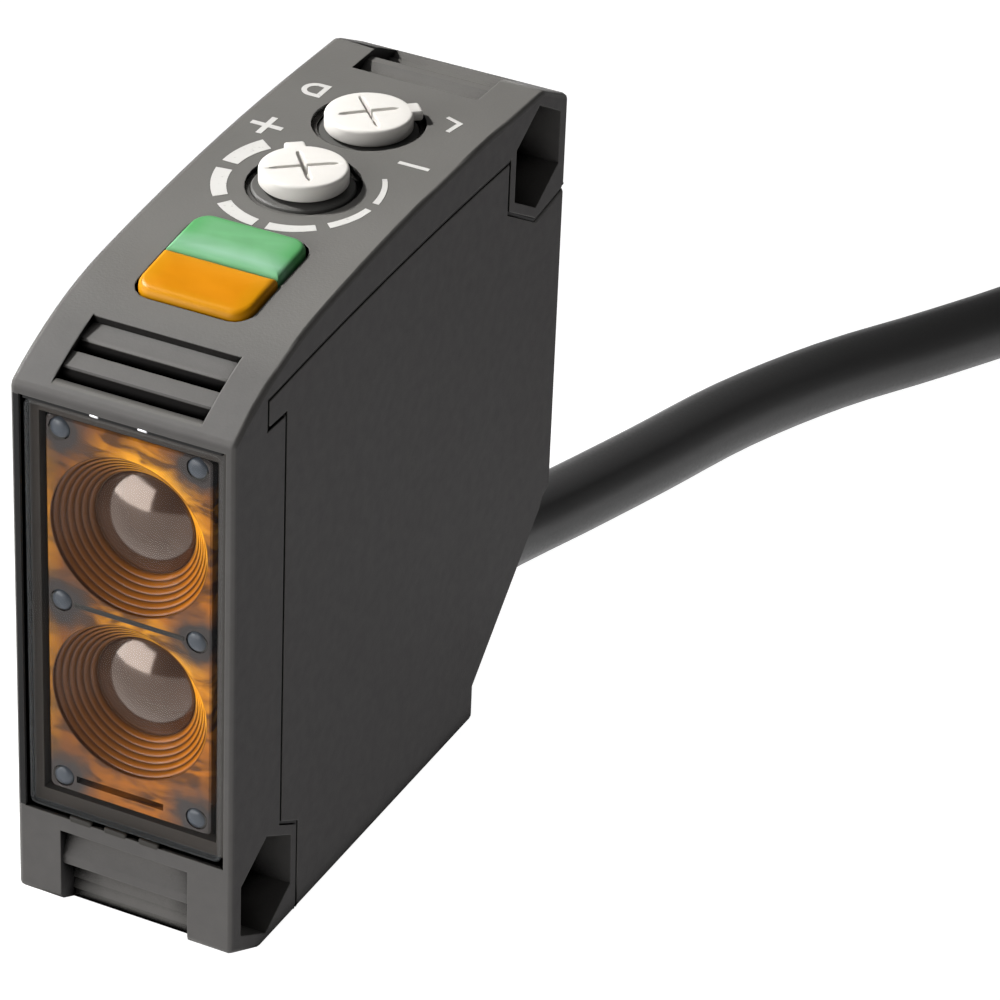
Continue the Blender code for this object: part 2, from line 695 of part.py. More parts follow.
def cable_route():
    """The points that guide the cable from inside the case to the tied hank."""
    start = Vector(EXIT) - EXIT_DIRECTION * 7.4
    floor = CABLE_R + 0.3
    right = HANK_X + TURN_RADII[1]
    return [
        start - EXIT_DIRECTION * 4,
        start,
        Vector(EXIT) + EXIT_DIRECTION * 3.6,
        Vector((0.15, 51.6, 4.1)),
        Vector((0.9, 58.0, floor)),
        Vector((3.3, 65.0, floor)),
        Vector((6.2, 74.0, floor)),
        Vector((9.4, 84.5, floor)),
        Vector((13.8, 94.5, floor)),
        Vector((19.4, 104.0, floor)),
        Vector((25.2, 115.0, floor)),
        Vector((29.6, 128.0, floor)),
        Vector((32.4, 143.0, floor + 0.4)),
        Vector((33.8, 160.0, floor + 0.9)),
        Vector((right, HANK_NEAR + 7.4, HANK_BASE + CABLE_R)),
        Vector((right, HANK_NEAR + 24, HANK_BASE + CABLE_R)),
    ]


def smooth(guides, spacing):
    """Places about spacing apart on the Catmull-Rom curve from the second guide to the last but one."""
    places = []
    for p0, p1, p2, p3 in zip(guides, guides[1:], guides[2:], guides[3:]):
        steps = max(1, round((p2 - p1).length / spacing))
        for k in range(steps):
            t = k / steps
            bend = (2 * p0 - 5 * p1 + 4 * p2 - p3) * t**2 + (3 * p1 - p0 - 3 * p2 + p3) * t**3
            places.append(0.5 * (2 * p1 + (p2 - p0) * t + bend))
    return places + [guides[-2]]


def make_cable():
    inner, outer = along_exit(-4.9), along_exit(3.6)
    bushing = rod("cable_bushing", inner, outer, 3.85, sides=24, end_radius=3.7)
    join(bushing, rod("bushing_flange", inner, along_exit(-3.1), 4.8, "cutters", 24))
    cut(bushing, rod("bushing_bore", along_exit(-6), along_exit(6), 3.3, "cutters", 24))
    finish(bushing, "rubber")

    clamp = rod("cable_clamp", along_exit(-7.2), along_exit(-5.2), 4.1, sides=20)
    cut(clamp, rod("clamp_bore", along_exit(-9), along_exit(-3), 3.3, "cutters", 20))
    finish(clamp, "metal")

    tube("cable", smooth(cable_route(), 2.4 * CABLE_R), CABLE_R, "cable")

    outer, inner = TURN_RADII[1] + CABLE_R, TURN_RADII[0] - CABLE_R
    near, far = HANK_NEAR + TURN_RADII[1], HANK_NEAR + TURN_RADII[1] + HANK_RUN
    top = HANK_BASE + 2 * CABLE_R * HANK_LAYERS
    hank = ring_block("cable_hank", outer, near, far, HANK_BASE, top)
    cut(hank, ring_block("hank_hollow", inner, near, far, HANK_BASE - 2, top + 2, "cutters"))
    finish(hank, "cable")
    return near, far, top


def ring_block(name, radius, near, far, low, high, group="photoelectric_sensor"):
    """An upright block with the outline of a running track, on the middle of the hank."""
    ends = arc((HANK_X, far), radius, 0, 180, 12) + arc((HANK_X, near), radius, 180, 360, 12)
    data = [(x, -(depth - DEPTH / 2)) for x, depth in ends]
    block = prism(name, data, 0, high - low, group, across=True)
    lift = Matrix.Translation((0, 0, (low + high) / 2 * MM))
    block.matrix_world = lift @ Matrix.Rotation(math.pi, 4, "X")
    return block


def make_ties(near, far, top):
    """A plastic tie round each long side of the hank. The right one holds the cable's end down too."""
    middle = (near + far) / 2
    bundle = (TURN_RADII[0] + TURN_RADII[1]) / 2
    half = CABLE_R * 2 + 0.35
    with_tail = top + 2 * CABLE_R + GAP
    for name, side, inner_top in (("hank_tie_left", -1, top), ("hank_tie_right", 1, with_tail)):
        x = HANK_X + side * bundle
        low, high = HANK_BASE - 0.35, inner_top + 0.35
        outside = half + TIE_THICK
        low_corner = (x - outside, middle - TIE_WIDE / 2, low - TIE_THICK)
        outer = box(name, low_corner, (x + outside, middle + TIE_WIDE / 2, high + TIE_THICK))
        hole = box(name + "_hole", (x - half, middle - 5, low), (x + half, middle + 5, high), "cutters")
        round_edges(outer, 0.4, 1)
        finish(cut(outer, hole), "black")


def make_far_end(near, far, top):
    """The last of the cable lies on the hank, with its five cores bared for wiring."""
    height = top + GAP + CABLE_R
    x = HANK_X + TURN_RADII[0]
    middle = (near + far) / 2
    tail = [(x, near - 2, height), (x, near + 8, height), (x, middle + 6, height)]
    tube("cable_tail", tail, CABLE_R, "cable")
    for i, colour in enumerate(CORES):
        side = 1.5 * (i - (len(CORES) - 1) / 2)
        fan = [
            (x + side, middle + 6.3, height),
            (x + side * 1.2, middle + 12, height - 0.6),
            (x + side * 1.6 - 0.6, far + 2, height - 1.9),
            (x + side * 1.9 - 2.4, far + 10, height - 2.1),
            (x + side * 2.1 - 6.0, far + 18, height - 2.1),
        ]
        tube(f"core_{colour}", fan, 0.65, colour)


def make_inner_leads():
    """The five cores run from the clamp up to the main board's lower edge."""
    x, depth, height = along_exit(-8.0)
    pad = MAIN_BOARD_X[1] + GAP + 0.5
    for i, colour in enumerate(CORES):
        row = i - (len(CORES) - 1) / 2
        side = 0.6 * (-1) ** i
        lift, back = 1.1 * row * math.cos(EXIT_SLOPE), 1.1 * row * math.sin(EXIT_SLOPE)
        route = [
            (side, depth + back, height + lift),
            (side * 0.5 - 1.2, depth + back - 2.0, height + 1.2 + 1.2 * row),
            (pad + 1.2, depth - 4.2, height + 1.9 + 1.4 * row),
            (pad, depth - 6.0, height + 2.2 + 1.5 * row),
        ]
        tube(f"lead_{colour}", route, 0.5, colour, 1)


def main():
    clear_scene()
    make_cover()
    make_case()
    make_window()
    make_optics()
    make_indicator()
    for name, depth in ADJUSTERS.items():
        make_adjuster(name, depth)
    make_boards()
    near, far, top = make_cable()
    make_ties(near, far, top)
    make_far_end(near, far, top)
    make_inner_leads()


main()
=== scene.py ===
"""Looks of the slim photoelectric sensor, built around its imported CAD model.

Lengths are written in millimetres and turned into metres by MM. Places are (x, depth, height):
x is across the sensor, depth runs back from its front face and height runs up from its bottom face.
"""

import math

import bmesh
import bpy
from mathutils import Matrix, Vector


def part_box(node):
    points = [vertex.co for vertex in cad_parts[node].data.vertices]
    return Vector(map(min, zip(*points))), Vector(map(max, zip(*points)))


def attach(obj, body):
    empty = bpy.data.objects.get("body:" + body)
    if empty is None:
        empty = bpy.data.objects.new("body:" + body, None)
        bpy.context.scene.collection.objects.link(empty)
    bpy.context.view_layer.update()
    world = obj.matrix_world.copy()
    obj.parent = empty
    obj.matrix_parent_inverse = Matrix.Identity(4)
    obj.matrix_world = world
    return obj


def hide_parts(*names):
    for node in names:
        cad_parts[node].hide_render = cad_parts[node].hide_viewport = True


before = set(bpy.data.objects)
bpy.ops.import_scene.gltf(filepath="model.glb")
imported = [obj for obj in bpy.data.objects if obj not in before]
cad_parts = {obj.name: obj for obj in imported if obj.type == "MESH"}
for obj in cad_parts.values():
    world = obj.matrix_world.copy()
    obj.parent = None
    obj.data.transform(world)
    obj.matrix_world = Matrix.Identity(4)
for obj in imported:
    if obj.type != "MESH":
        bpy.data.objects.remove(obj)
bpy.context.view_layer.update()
MM = 0.001
DEPTH, HEIGHT = 50.0, 50.0

# Camera
CAMERA_PLACE = (140.98, -238.95, 207.11)
CAMERA_AZIMUTH, CAMERA_ELEVATION, CAMERA_ROLL = 25.29, 31.44, 2.42
LENS, SENSOR = 174.02, 36.0

# Light
SKY_STRENGTH, FLOOR_GLOW = 0.15, 0.98
SOFTBOX_AT, SOFTBOX_AIM, SOFTBOX_SIZE, SOFTBOX_WATTS = (-0.39, -0.465, 0.125), (0, 0, 0.03), (0.72, 0.4), 6.2
SNOOT_AT, SNOOT_AIM, SNOOT_DEGREES, SNOOT_WATTS = (-0.45, 0.02, 0.43), (0, 0.002, 0.05), 6.4, 215

# Top face: flat at the rear, a long shallow arc, then a short steep one
TOP_FLAT_FROM, TOP_BREAK = 40.0, 12.0
LONG_ARC, SHORT_ARC = 200.0, 31.0

# Where the louvre panel is in shadow: from one depth to another, wherever it is sunk by more than the third
LOUVRE_HALF, LOUVRE_LOW = 5.8, 43.2
LOUVRE_SHADOWS = ((1.1, 2.19, 0.33), (3.46, 4.52, 0.5), (6.19, 8.5, 0.12))

# Window and optics
PANE_HALF, PANE_LOW, PANE_HIGH, PANE_FRONT, PANE_BACK = 7.7, 9.5, 42.6, 0.12, 0.6
PANE_RIM, PANE_CORNER = 0.32, 0.6
PLATE_HALF, PLATE_LOW, PLATE_HIGH = 6.45, 10.95, 41.35
PLATE_FACE, PLATE_BACK = 0.9, 3.3
LENS_HEIGHTS = (20.0, 33.4)
LENS_R, DOME_R, DOME_BASE, DOME_BULGE = 6.15, 3.95, 3.3, 1.35
RING_FRONT, RING_COUNT = 1.25, 6
# Each ring's rounded face: (share of its width, how far it stands forward)
RING_RELIEF = ((0.05, 0.0), (0.2, 0.07), (0.45, 0.13), (0.7, 0.14), (0.88, 0.1), (0.97, 0.0))
# The stakes that hold the lens plate
PIN_X, PIN_R, PIN_HEIGHTS = 5.35, 0.82, (12.1, 26.75, 40.5)

# Adjusters: (depth, turned by, body)
ADJUSTERS = {
    "sensitivity": (25.2, 129, "sensitivity_adjuster"),
    "mode": (34.9, 43, "mode_selector"),
}
KNOB_TOP, KNOB_R, KNOB_THICK, NECK_R = 50.9, 3.2, 1.3, 1.9
WELL_FLOOR, STEM_R, STEM_END = 48.1, 1.5, 45.6

# Indicator
LAMP_HALF, LAMP_FRONT, LAMP_SPLIT, LAMP_REAR = 4.45, 8.9, 13.5, 18.4
LAMP_PROUD, LAMP_CORNER, LAMP_BASE = 0.55, 1.4, 44.6

# Printed marks
PRINT_PROUD, PRINT_SUNK, PRINT_STROKE = 0.02, 0.05, 0.45
PLUS_AT, MINUS_AT, L_AT, D_AT = (-6.2, 31.1), (5.72, 30.85), (5.94, 38.07), (-5.75, 37.5)

# Middle of the seam between the two housing parts, seen from the side
SEAM_FOOT, SEAM_FRONT, SEAM_JOG, SEAM_REAR = 9.55, 7.05, 4.55, 39.2
SEAM_STEP_HEIGHT, SEAM_HIGH, SEAM_ARC = 42.35, 46.6, 357
SEAM_SIDE, SEAM_LAP_R = 8.37, 0.24

# Cable
CABLE_R = 3.0
EXIT = (0.0, 43.6, 8.1)
EXIT_SLOPE = math.radians(35)
EXIT_DIRECTION = Vector((0, math.cos(EXIT_SLOPE), -math.sin(EXIT_SLOPE)))
# Where the cable lies on the floor on its way to the hank, as (x, depth)
ON_FLOOR = (0.9, 58), (3.3, 65), (6.2, 74), (9.4, 84.5), (13.8, 94.5), (19.4, 104), (25.2, 115), (29.6, 128)
HANK_BASE = 1.2
TURN_RADII = {"outer": 26.0, "inner": 20.0}
HANK_X, HANK_NEAR, HANK_FAR, HANK_LAYERS = 8.0, 217.0, 255.0, 4
HANK_MIDDLE = (HANK_NEAR + HANK_FAR) / 2
HANK_COLUMNS = ("outer", "inner", "inner", "outer", "outer", "inner", "inner", "outer")
TAIL_X, TAIL_HEIGHT = HANK_X + TURN_RADII["inner"], HANK_BASE + 2 * CABLE_R * HANK_LAYERS + 0.3 + CABLE_R
TIE_WIDE, TIE_THICK = 3.2, 0.85
CORE_R, CORE_BARE = 0.65, 5
CORES = {
    "brown": (0.13, 0.05, 0.022),
    "blue": (0.02, 0.09, 0.42),
    "white": (0.75, 0.74, 0.70),
    "black": (0.02, 0.02, 0.02),
    "grey": (0.24, 0.24, 0.24),
}


def place(x, depth, height):
    return Vector((x, depth - DEPTH / 2, height)) * MM


def short_arc_centre():
    """The middle of the short arc, as (depth, height). It leaves the long arc with no corner."""
    lean = math.asin((TOP_FLAT_FROM - TOP_BREAK) / LONG_ARC)
    height = HEIGHT - LONG_ARC * (1 - math.cos(lean))
    return TOP_BREAK + SHORT_ARC * math.sin(lean), height - SHORT_ARC * math.cos(lean)


def top_height(depth):
    if depth >= TOP_FLAT_FROM:
        return HEIGHT
    if depth >= TOP_BREAK:
        return HEIGHT - LONG_ARC + math.sqrt(LONG_ARC**2 - (TOP_FLAT_FROM - depth) ** 2)
    centre_depth, centre_height = short_arc_centre()
    return centre_height + math.sqrt(SHORT_ARC**2 - (depth - centre_depth) ** 2)


def top_normal(depth):
    step = 0.05
    rise = (top_height(depth + step) - top_height(depth - step)) / (2 * step)
    return Vector((0, -rise, 1)).normalized()


# ---- materials


# The node trees of the materials made so far. Each helper below adds its nodes to the last one.
trees = []


def feed(sockets, inputs):
    """Sets each input to its value, or links it to the socket that it is given."""
    for key, value in inputs.items():
        if isinstance(value, bpy.types.NodeSocket):
            trees[-1].links.new(value, sockets[key])
        else:
            sockets[key].default_value = value


def node(kind, inputs=None, **settings):
    made = trees[-1].nodes.new("ShaderNode" + kind)
    for key, value in settings.items():
        setattr(made, key, value)
    feed(made.inputs, inputs or {})
    return made


def position(kind="Object"):
    return node("TexCoord").outputs[kind]


def maths(operation, first, second=0.0, clamp=False):
    return node("Math", {0: first, 1: second}, operation=operation, use_clamp=clamp).outputs[0]


def times(first, second):
    """The product, kept from 0 to 1."""
    return maths("MULTIPLY", first, second, True)


def vectors(operation, first, second=(0, 0, 0)):
    made = node("VectorMath", {0: first, 1: second}, operation=operation)
    return made.outputs["Value" if operation in ("LENGTH", "DISTANCE", "DOT_PRODUCT") else "Vector"]


def mapped(value, start, end, low=0.0, high=1.0, kind="LINEAR"):
    """The value, read from start to end, turned into one from low to high."""
    inputs = {"Value": value, "From Min": start, "From Max": end, "To Min": low, "To Max": high}
    return node("MapRange", inputs, interpolation_type=kind).outputs["Result"]


def split(vector):
    return node("SeparateXYZ", {0: vector}).outputs


def blank(name):
    made = bpy.data.materials.new(name)
    made.use_nodes = True
    trees.append(made.node_tree)
    return made


def painted(made, **inputs):
    """The material with its main shader's inputs set or linked. Underscores stand for spaces."""
    shader = made.node_tree.nodes["Principled BSDF"]
    feed(shader.inputs, {key.replace("_", " "): value for key, value in inputs.items()})
    return made


def noise(size, detail=2.0, stretch=(1, 1, 1), **more):
    """Noise with features about size millimetres across."""
    where = node("Mapping", {"Vector": position(), "Scale": stretch}).outputs[0]
    inputs = {"Vector": where, "Scale": 1 / (size * MM), "Detail": detail, **more}
    return node("TexNoise", inputs).outputs["Fac"]


def ramp(factor, *stops):
    """A colour ramp. Each stop is a position with a colour or, for a grey, its share of white."""
    made = node("ValToRGB", {"Fac": factor})
    steps = made.color_ramp.elements
    while len(steps) < len(stops):
        steps.new(0.5)
    for step, (at, colour) in zip(steps, stops):
        step.position = at
        step.color = (*colour[:3], 1) if isinstance(colour, tuple) else (colour, colour, colour, 1)
    return made.outputs["Color"]


def between(factor, low, high):
    """Noise, which mostly lies from 0.3 to 0.7, turned into a value from low to high."""
    return mapped(factor, 0.3, 0.7, low, high)


def blended(factor, first, second, kind="MIX"):
    inputs = {"Fac": factor, "Color1": first, "Color2": second}
    return node("MixRGB", inputs, blend_type=kind).outputs["Color"]


def bump(height, depth, normal=None):
    inputs = {"Height": height, "Strength": 1.0, "Distance": depth * MM}
    if normal is not None:
        inputs["Normal"] = normal
    return node("Bump", inputs).outputs["Normal"]


def tinted(colour, by):
    return tuple(c * by for c in colour) + (1,)


def plastic(name, colour, roughness=0.5, grain=0.22, grain_depth=0.012, mottle=0.06, edge=0.0, gloss=0.5):
    """Moulded plastic: fine grain, faint mottling, uneven gloss and, with edge, softened edges painted paler
    as a highlight.
    """
    made = blank(name)
    broad, cloud = noise(9, 3), noise(1.1, 4)
    base = ramp(broad, (0.3, tinted(colour, 1 - mottle)), (0.7, tinted(colour, 1 + mottle)))
    base = blended(between(cloud, 0, 0.12), base, tinted(colour, 1.25))
    normal = None
    if edge:
        # Painted highlight: the softened edges are made paler.
        normal = node("Bevel", {"Radius": edge * MM}, samples=6).outputs["Normal"]
        facing = vectors("DOT_PRODUCT", normal, node("NewGeometry").outputs["Normal"])
        base = blended(mapped(facing, 1.0, 0.8, 0.0, 0.45), base, tinted(colour, 1.7))
    dull = between(broad, roughness - 0.05, roughness + 0.05)
    relief = bump(noise(grain, 2), grain_depth, normal)
    return painted(made, Base_Color=base, Roughness=dull, Normal=relief, Specular_IOR_Level=gloss)


def rubber(name, colour):
    return plastic(name, colour, 0.75, 0.12, 0.014, 0.1, gloss=0.15)


def jacket(name, colour, roughness=0.42):
    """Cable jacket: extruded PVC with faint unevenness and a soft sheen."""
    made = blank(name)
    broad, fine, wave = noise(14, 3), noise(0.25, 3), noise(3.5, 2)
    base = ramp(broad, (0.3, tinted(colour, 0.85)), (0.7, tinted(colour, 1.15)))
    dull = between(fine, roughness - 0.06, roughness + 0.08)
    relief = bump(wave, 0.03, bump(fine, 0.006))
    sheen = {"Sheen_Weight": 0.15, "Sheen_Roughness": 0.4}
    return painted(made, Base_Color=base, Roughness=dull, Normal=relief, **sheen)


def metal(name, colour, roughness=0.3, stretch=(1, 1, 12)):
    """Drawn or turned metal with fine scratches along one way."""
    made = blank(name)
    lines = noise(0.5, 3, stretch)
    base = ramp(lines, (0.25, tinted(colour, 0.8)), (0.75, tinted(colour, 1.1)))
    dull = between(lines, roughness - 0.08, roughness + 0.12)
    return painted(made, Base_Color=base, Metallic=1.0, Roughness=dull, Normal=bump(lines, 0.006))


def circuit_board(name):
    """Green solder mask over copper tracks."""
    made = blank(name)
    cells = node("TexVoronoi", {"Vector": position(), "Scale": 700}, feature="DISTANCE_TO_EDGE")
    track = ramp(cells.outputs["Distance"], (0.06, 1), (0.1, 0))
    green = blended(track, (0.01, 0.09, 0.035, 1), (0.04, 0.2, 0.08, 1))
    dull = between(noise(0.8), 0.25, 0.4)
    return painted(made, Base_Color=green, Roughness=dull, Normal=bump(track, 0.03), Coat_Weight=0.4)


def winding(name):
    """Varnished copper wire wound in layers."""
    made = blank(name)
    inputs = {"Vector": position(), "Scale": 320, "Distortion": 0.6}
    turns = node("TexWave", inputs, bands_direction="Y").outputs["Fac"]
    base = ramp(turns, (0.1, (0.2, 0.07, 0.02)), (0.6, (0.72, 0.33, 0.15)))
    return painted(made, Base_Color=base, Metallic=0.8, Roughness=0.3, Normal=bump(turns, 0.08))


def from_edge():
    """0 in the middle of the piece's box and 1 at its sides, from above."""
    aside = vectors("SUBTRACT", position("Generated"), (0.5, 0.5, 0.5))
    parts = split(vectors("ABSOLUTE", aside))
    return maths("MULTIPLY", maths("MAXIMUM", parts[0], parts[1]), 2.0)


def lamp_plastic(name, middle, rim, streak, streak_at):
    """Tinted clear plastic, deeper at its rim, with a pale cloudy streak across it."""
    made = blank(name)
    cloud = noise(3.2, 2, (0.6, 1.4, 1), Distortion=0.6)
    rim_share = mapped(from_edge(), 0.55, 1.0, 0.0, 0.85, "SMOOTHSTEP")
    along = split(position("Generated"))[1]
    away = maths("ABSOLUTE", maths("SUBTRACT", along, streak_at))
    streak_share = maths("MULTIPLY", mapped(away, 0.3, 0.0, 0.0, 0.9), cloud)
    base = ramp(cloud, (0.35, tinted(middle, 0.92)), (0.65, tinted(middle, 1.06)))
    base = blended(streak_share, blended(rim_share, base, rim), streak)
    dull, relief = between(cloud, 0.3, 0.42), bump(noise(2.5, 2), 0.04)
    return painted(made, Base_Color=base, Roughness=dull, Normal=relief, Specular_IOR_Level=0.12)


# Amber colours: the base, its dark lines, a brown for painted shade, orange and gold for painted highlights,
# and a smoky grey near the stakes.
AMBER, AMBER_DEEP, AMBER_BROWN_SHADE = (0.2, 0.06, 0.003, 1), (0.05, 0.019, 0.005, 1), (0.065, 0.034, 0.019, 1)
AMBER_ORANGE_HIGHLIGHT, AMBER_GOLD_HIGHLIGHT = (0.55, 0.17, 0.005, 1), (0.95, 0.42, 0.015, 1)
AMBER_SMOKE = (0.036, 0.030, 0.028, 1)
# Bearing, in degrees from +X up to +Z, and sharpness of each light painted on the rings round a lens.
# Brown is painted shade; orange, gold and streak are painted highlights.
RING_LIGHTS = {"orange": (-25, 1.6), "brown": (165, 0.8), "gold": (80, 8), "streak": (15, 12)}


def lobe(direction, towards, sharpness):
    """1 where the unit direction points towards a bearing, falling off around it."""
    a = math.radians(towards)
    facing = vectors("DOT_PRODUCT", direction, (math.cos(a), 0, math.sin(a)))
    return maths("POWER", maths("MAXIMUM", facing, 0.0), sharpness)


def from_centre(across, up):
    """How far a place lies from a lens's middle and in which direction, seen from the front."""
    flat = node("CombineXYZ", {0: across, 2: up}).outputs[0]
    return vectors("LENGTH", flat), vectors("NORMALIZE", flat)


def clear_of_stakes(parts):
    """0 next to the six stakes and 1 away from them."""
    spot = node("CombineXYZ", {0: maths("ABSOLUTE", parts[0]), 1: parts[2]}).outputs[0]
    nearest = 1.0
    for height in PIN_HEIGHTS:
        distance = vectors("DISTANCE", spot, (PIN_X * MM, height * MM, 0))
        nearest = maths("MINIMUM", distance, nearest)
    ragged = maths("MULTIPLY", noise(1.5, 3), 1.6 * MM)
    return mapped(maths("ADD", nearest, ragged), 2.1 * MM, 4.0 * MM)


def above_lenses(parts):
    """1 just above and to the right of each lens, falling off outwards."""
    total = 0.0
    for height in LENS_HEIGHTS:
        up = maths("SUBTRACT", parts[2], height * MM)
        radius, direction = from_centre(parts[0], up)
        close = mapped(radius, 6.3 * MM, 8.2 * MM, 1.0, 0.0)
        total = maths("ADD", times(close, lobe(direction, 62, 3)), total)
    return total


def ring_light(parts):
    """The fine circles round a lens, 0 on a dark one, and how strong each painted light or shade on them is.
    """
    radius, direction = from_centre(parts[0], parts[2])
    turn = 2 * math.pi / ((LENS_R - DOME_R) / RING_COUNT * MM)
    wave = maths("SINE", maths("MULTIPLY", radius, turn))
    lines = mapped(wave, -1.0, 0.7, 0.15, 1.0)
    return lines, {light: lobe(direction, *settings) for light, settings in RING_LIGHTS.items()}


def plate_light(parts, swirl):
    """The clouds in the plate, 0 in a dark one, and how strong each painted light or shade in it is."""
    cloud = noise(1.3, 3, (0.5, 1, 1.2), Distortion=0.7)
    lines = ramp(cloud, (0.38, 0.1), (0.6, 1))
    orange = mapped(parts[0], -6 * MM, 6 * MM)
    flecks = times(ramp(swirl, (0.35, 0.2), (0.6, 1)), 1.3)
    # The streak is a painted highlight along the plate's left edge.
    left_edge = mapped(parts[0], -5.3 * MM, -6.2 * MM, 0.0, 0.3)
    return lines, {
        "orange": orange,
        "brown": times(maths("SUBTRACT", 1.0, orange), 0.5),
        "gold": times(above_lenses(parts), flecks),
        "streak": times(left_edge, cloud),
    }


def amber(name, rings):
    """Moulded amber plastic with painted light: orange highlights to the right and below each lens and gold
    ones above it, and painted brown shade to the left. With rings, fine dark circles run about the piece's
    origin."""
    made = blank(name)
    swirl = noise(2.4, 2, (1, 1, 0.7), Distortion=0.8)
    parts = split(position())
    lines, lights = ring_light(parts) if rings else plate_light(parts, swirl)
    base = blended(lines, AMBER_DEEP, AMBER)
    base = blended(times(lights["brown"], 0.6), base, AMBER_BROWN_SHADE)
    base = blended(times(times(lights["orange"], lines), swirl), base, AMBER_ORANGE_HIGHLIGHT)
    base = blended(times(times(lights["gold"], lines), 0.8), base, AMBER_GOLD_HIGHLIGHT)
    base = blended(times(times(lights["streak"], swirl), 1.6), base, AMBER_GOLD_HIGHLIGHT)
    if not rings:
        base = blended(clear_of_stakes(parts), AMBER_SMOKE, base)
    relief = bump(noise(1.2, 2), 0.02)
    return painted(made, Base_Color=base, Roughness=0.25, Normal=relief, Specular_IOR_Level=0.22)


def smoked_glass(name):
    """The dark glossy middle of each lens, over its dark receiver."""
    made = blank(name)
    base = ramp(noise(3.0, 2), (0.3, (0.036, 0.020, 0.013)), (0.7, (0.05, 0.028, 0.019)))
    shine = {"Specular_IOR_Level": 0.95, "Specular_Tint": (1, 0.83, 0.72, 1)}
    return painted(made, Base_Color=base, Roughness=0.13, **shine)


def clear(name, haze, strength):
    """Plastic that light goes straight through, with a faint reflection and, with haze, a milky body."""
    made = blank(name)
    through = node("BsdfTransparent").outputs[0]
    ripple = bump(noise(6, 2), 0.01)
    shine = node("BsdfGlossy", {"Roughness": 0.04, "Normal": ripple}).outputs[0]
    share = node("Fresnel", {"IOR": 1.45, "Normal": ripple}).outputs[0]
    outside = maths("SUBTRACT", strength, node("NewGeometry").outputs["Backfacing"], True)
    share = maths("MULTIPLY", share, outside)
    painted(made, Base_Color=(0.35, 0.37, 0.38, 1), Roughness=0.3)
    body = made.node_tree.nodes["Principled BSDF"].outputs[0]
    milky = node("MixShader", {0: haze, 1: through, 2: body}).outputs[0]
    whole = node("MixShader", {0: share, 1: milky, 2: shine}).outputs[0]
    feed(made.node_tree.nodes["Material Output"].inputs, {"Surface": whole})
    return made


def print_ink(name, colour):
    """Pad-printed ink: nearly flat white with tiny pinholes."""
    made = blank(name)
    speck = noise(0.3, 3)
    base = ramp(speck, (0.28, tinted(colour, 0.75)), (0.36, tinted(colour, 1.0)))
    return painted(made, Base_Color=base, Roughness=0.5, Normal=bump(speck, 0.004))


def louvre_shadow():
    """1 in the slots of the louvre panel and on its rear wall, which get no light, and 0 elsewhere."""
    parts = split(position())
    arm = node("CombineXYZ", {1: parts[1], 2: parts[2]}).outputs[0]
    reach = vectors("DISTANCE", arm, tuple(place(0, *short_arc_centre())))
    sunk = maths("SUBTRACT", SHORT_ARC * MM, reach)
    total = 0.0
    for start, end, least in LOUVRE_SHADOWS:
        begin, stop = (place(0, depth, 0).y for depth in (start, end))
        after = maths("GREATER_THAN", parts[1], begin)
        before = maths("LESS_THAN", parts[1], stop)
        deep = mapped(sunk, (least - 0.04) * MM, (least + 0.04) * MM)
        total = maths("ADD", total, times(times(after, before), deep))
    inside = maths("LESS_THAN", maths("ABSOLUTE", parts[0]), LOUVRE_HALF * MM)
    above = maths("GREATER_THAN", parts[2], LOUVRE_LOW * MM)
    return times(total, times(inside, above))


def housing_plastic(name):
    """Charcoal plastic: satin on top, with finely spark-eroded matte sides. Faces that aren't level also get
    a darker colour as painted shade. Corners are softened and painted a little paler as a highlight, and
    narrow hollows and the louvre slots are painted black as shade."""
    made = blank(name)
    broad, cloud, fine = noise(9, 3), noise(1.1, 4), noise(0.2, 2)
    geometry = node("NewGeometry").outputs
    parts = split(geometry["Normal"])
    # Painted shade: faces that aren't level get a darker colour, as well as a duller finish.
    sideways = mapped(maths("ABSOLUTE", parts[0]), 0.6, 1.0)
    level = ramp(maths("ABSOLUTE", parts[2]), (0.0, 0.7), (0.86, 0.6), (0.93, 0.5), (0.992, 0.0))
    matt_and_shade = maths("MAXIMUM", sideways, level)
    satin_colour = ramp(broad, (0.3, tinted(SATIN, 0.95)), (0.7, tinted(SATIN, 1.05)))
    matte_shade_colour = ramp(broad, (0.3, tinted(MATT_SHADE, 0.93)), (0.7, tinted(MATT_SHADE, 1.07)))
    base = blended(matt_and_shade, satin_colour, matte_shade_colour)
    base = blended(between(cloud, 0, 0.1), base, tinted(SATIN, 1.2))
    # Painted highlight: corners softened by the bevel normal are also made paler.
    softened = node("Bevel", {"Radius": 0.14 * MM}, samples=4).outputs["Normal"]
    facing = vectors("DOT_PRODUCT", softened, geometry["True Normal"])
    base = blended(mapped(facing, 1.0, 0.8, 0.0, 0.4), base, tinted(SATIN, 1.5))
    # Painted shade: narrow hollows, the louvre slots and the louvre's rear wall are darkened in colour and
    # gloss.
    nearby = node("AmbientOcclusion", {"Distance": 2.7 * MM}, samples=4).outputs["AO"]
    lit = maths("SUBTRACT", 1.0, maths("MULTIPLY", louvre_shadow(), 0.92))
    open_share = maths("MULTIPLY", mapped(nearby, 0.46, 0.82, kind="SMOOTHSTEP"), lit)
    return painted(
        made,
        Base_Color=blended(1.0, base, open_share, "MULTIPLY"),
        Roughness=between(broad, 0.48, 0.58),
        Normal=bump(fine, 0.012, softened),
        Specular_IOR_Level=maths("MULTIPLY", mapped(matt_and_shade, 0, 1, 0.3, 0.02), open_share),
    )
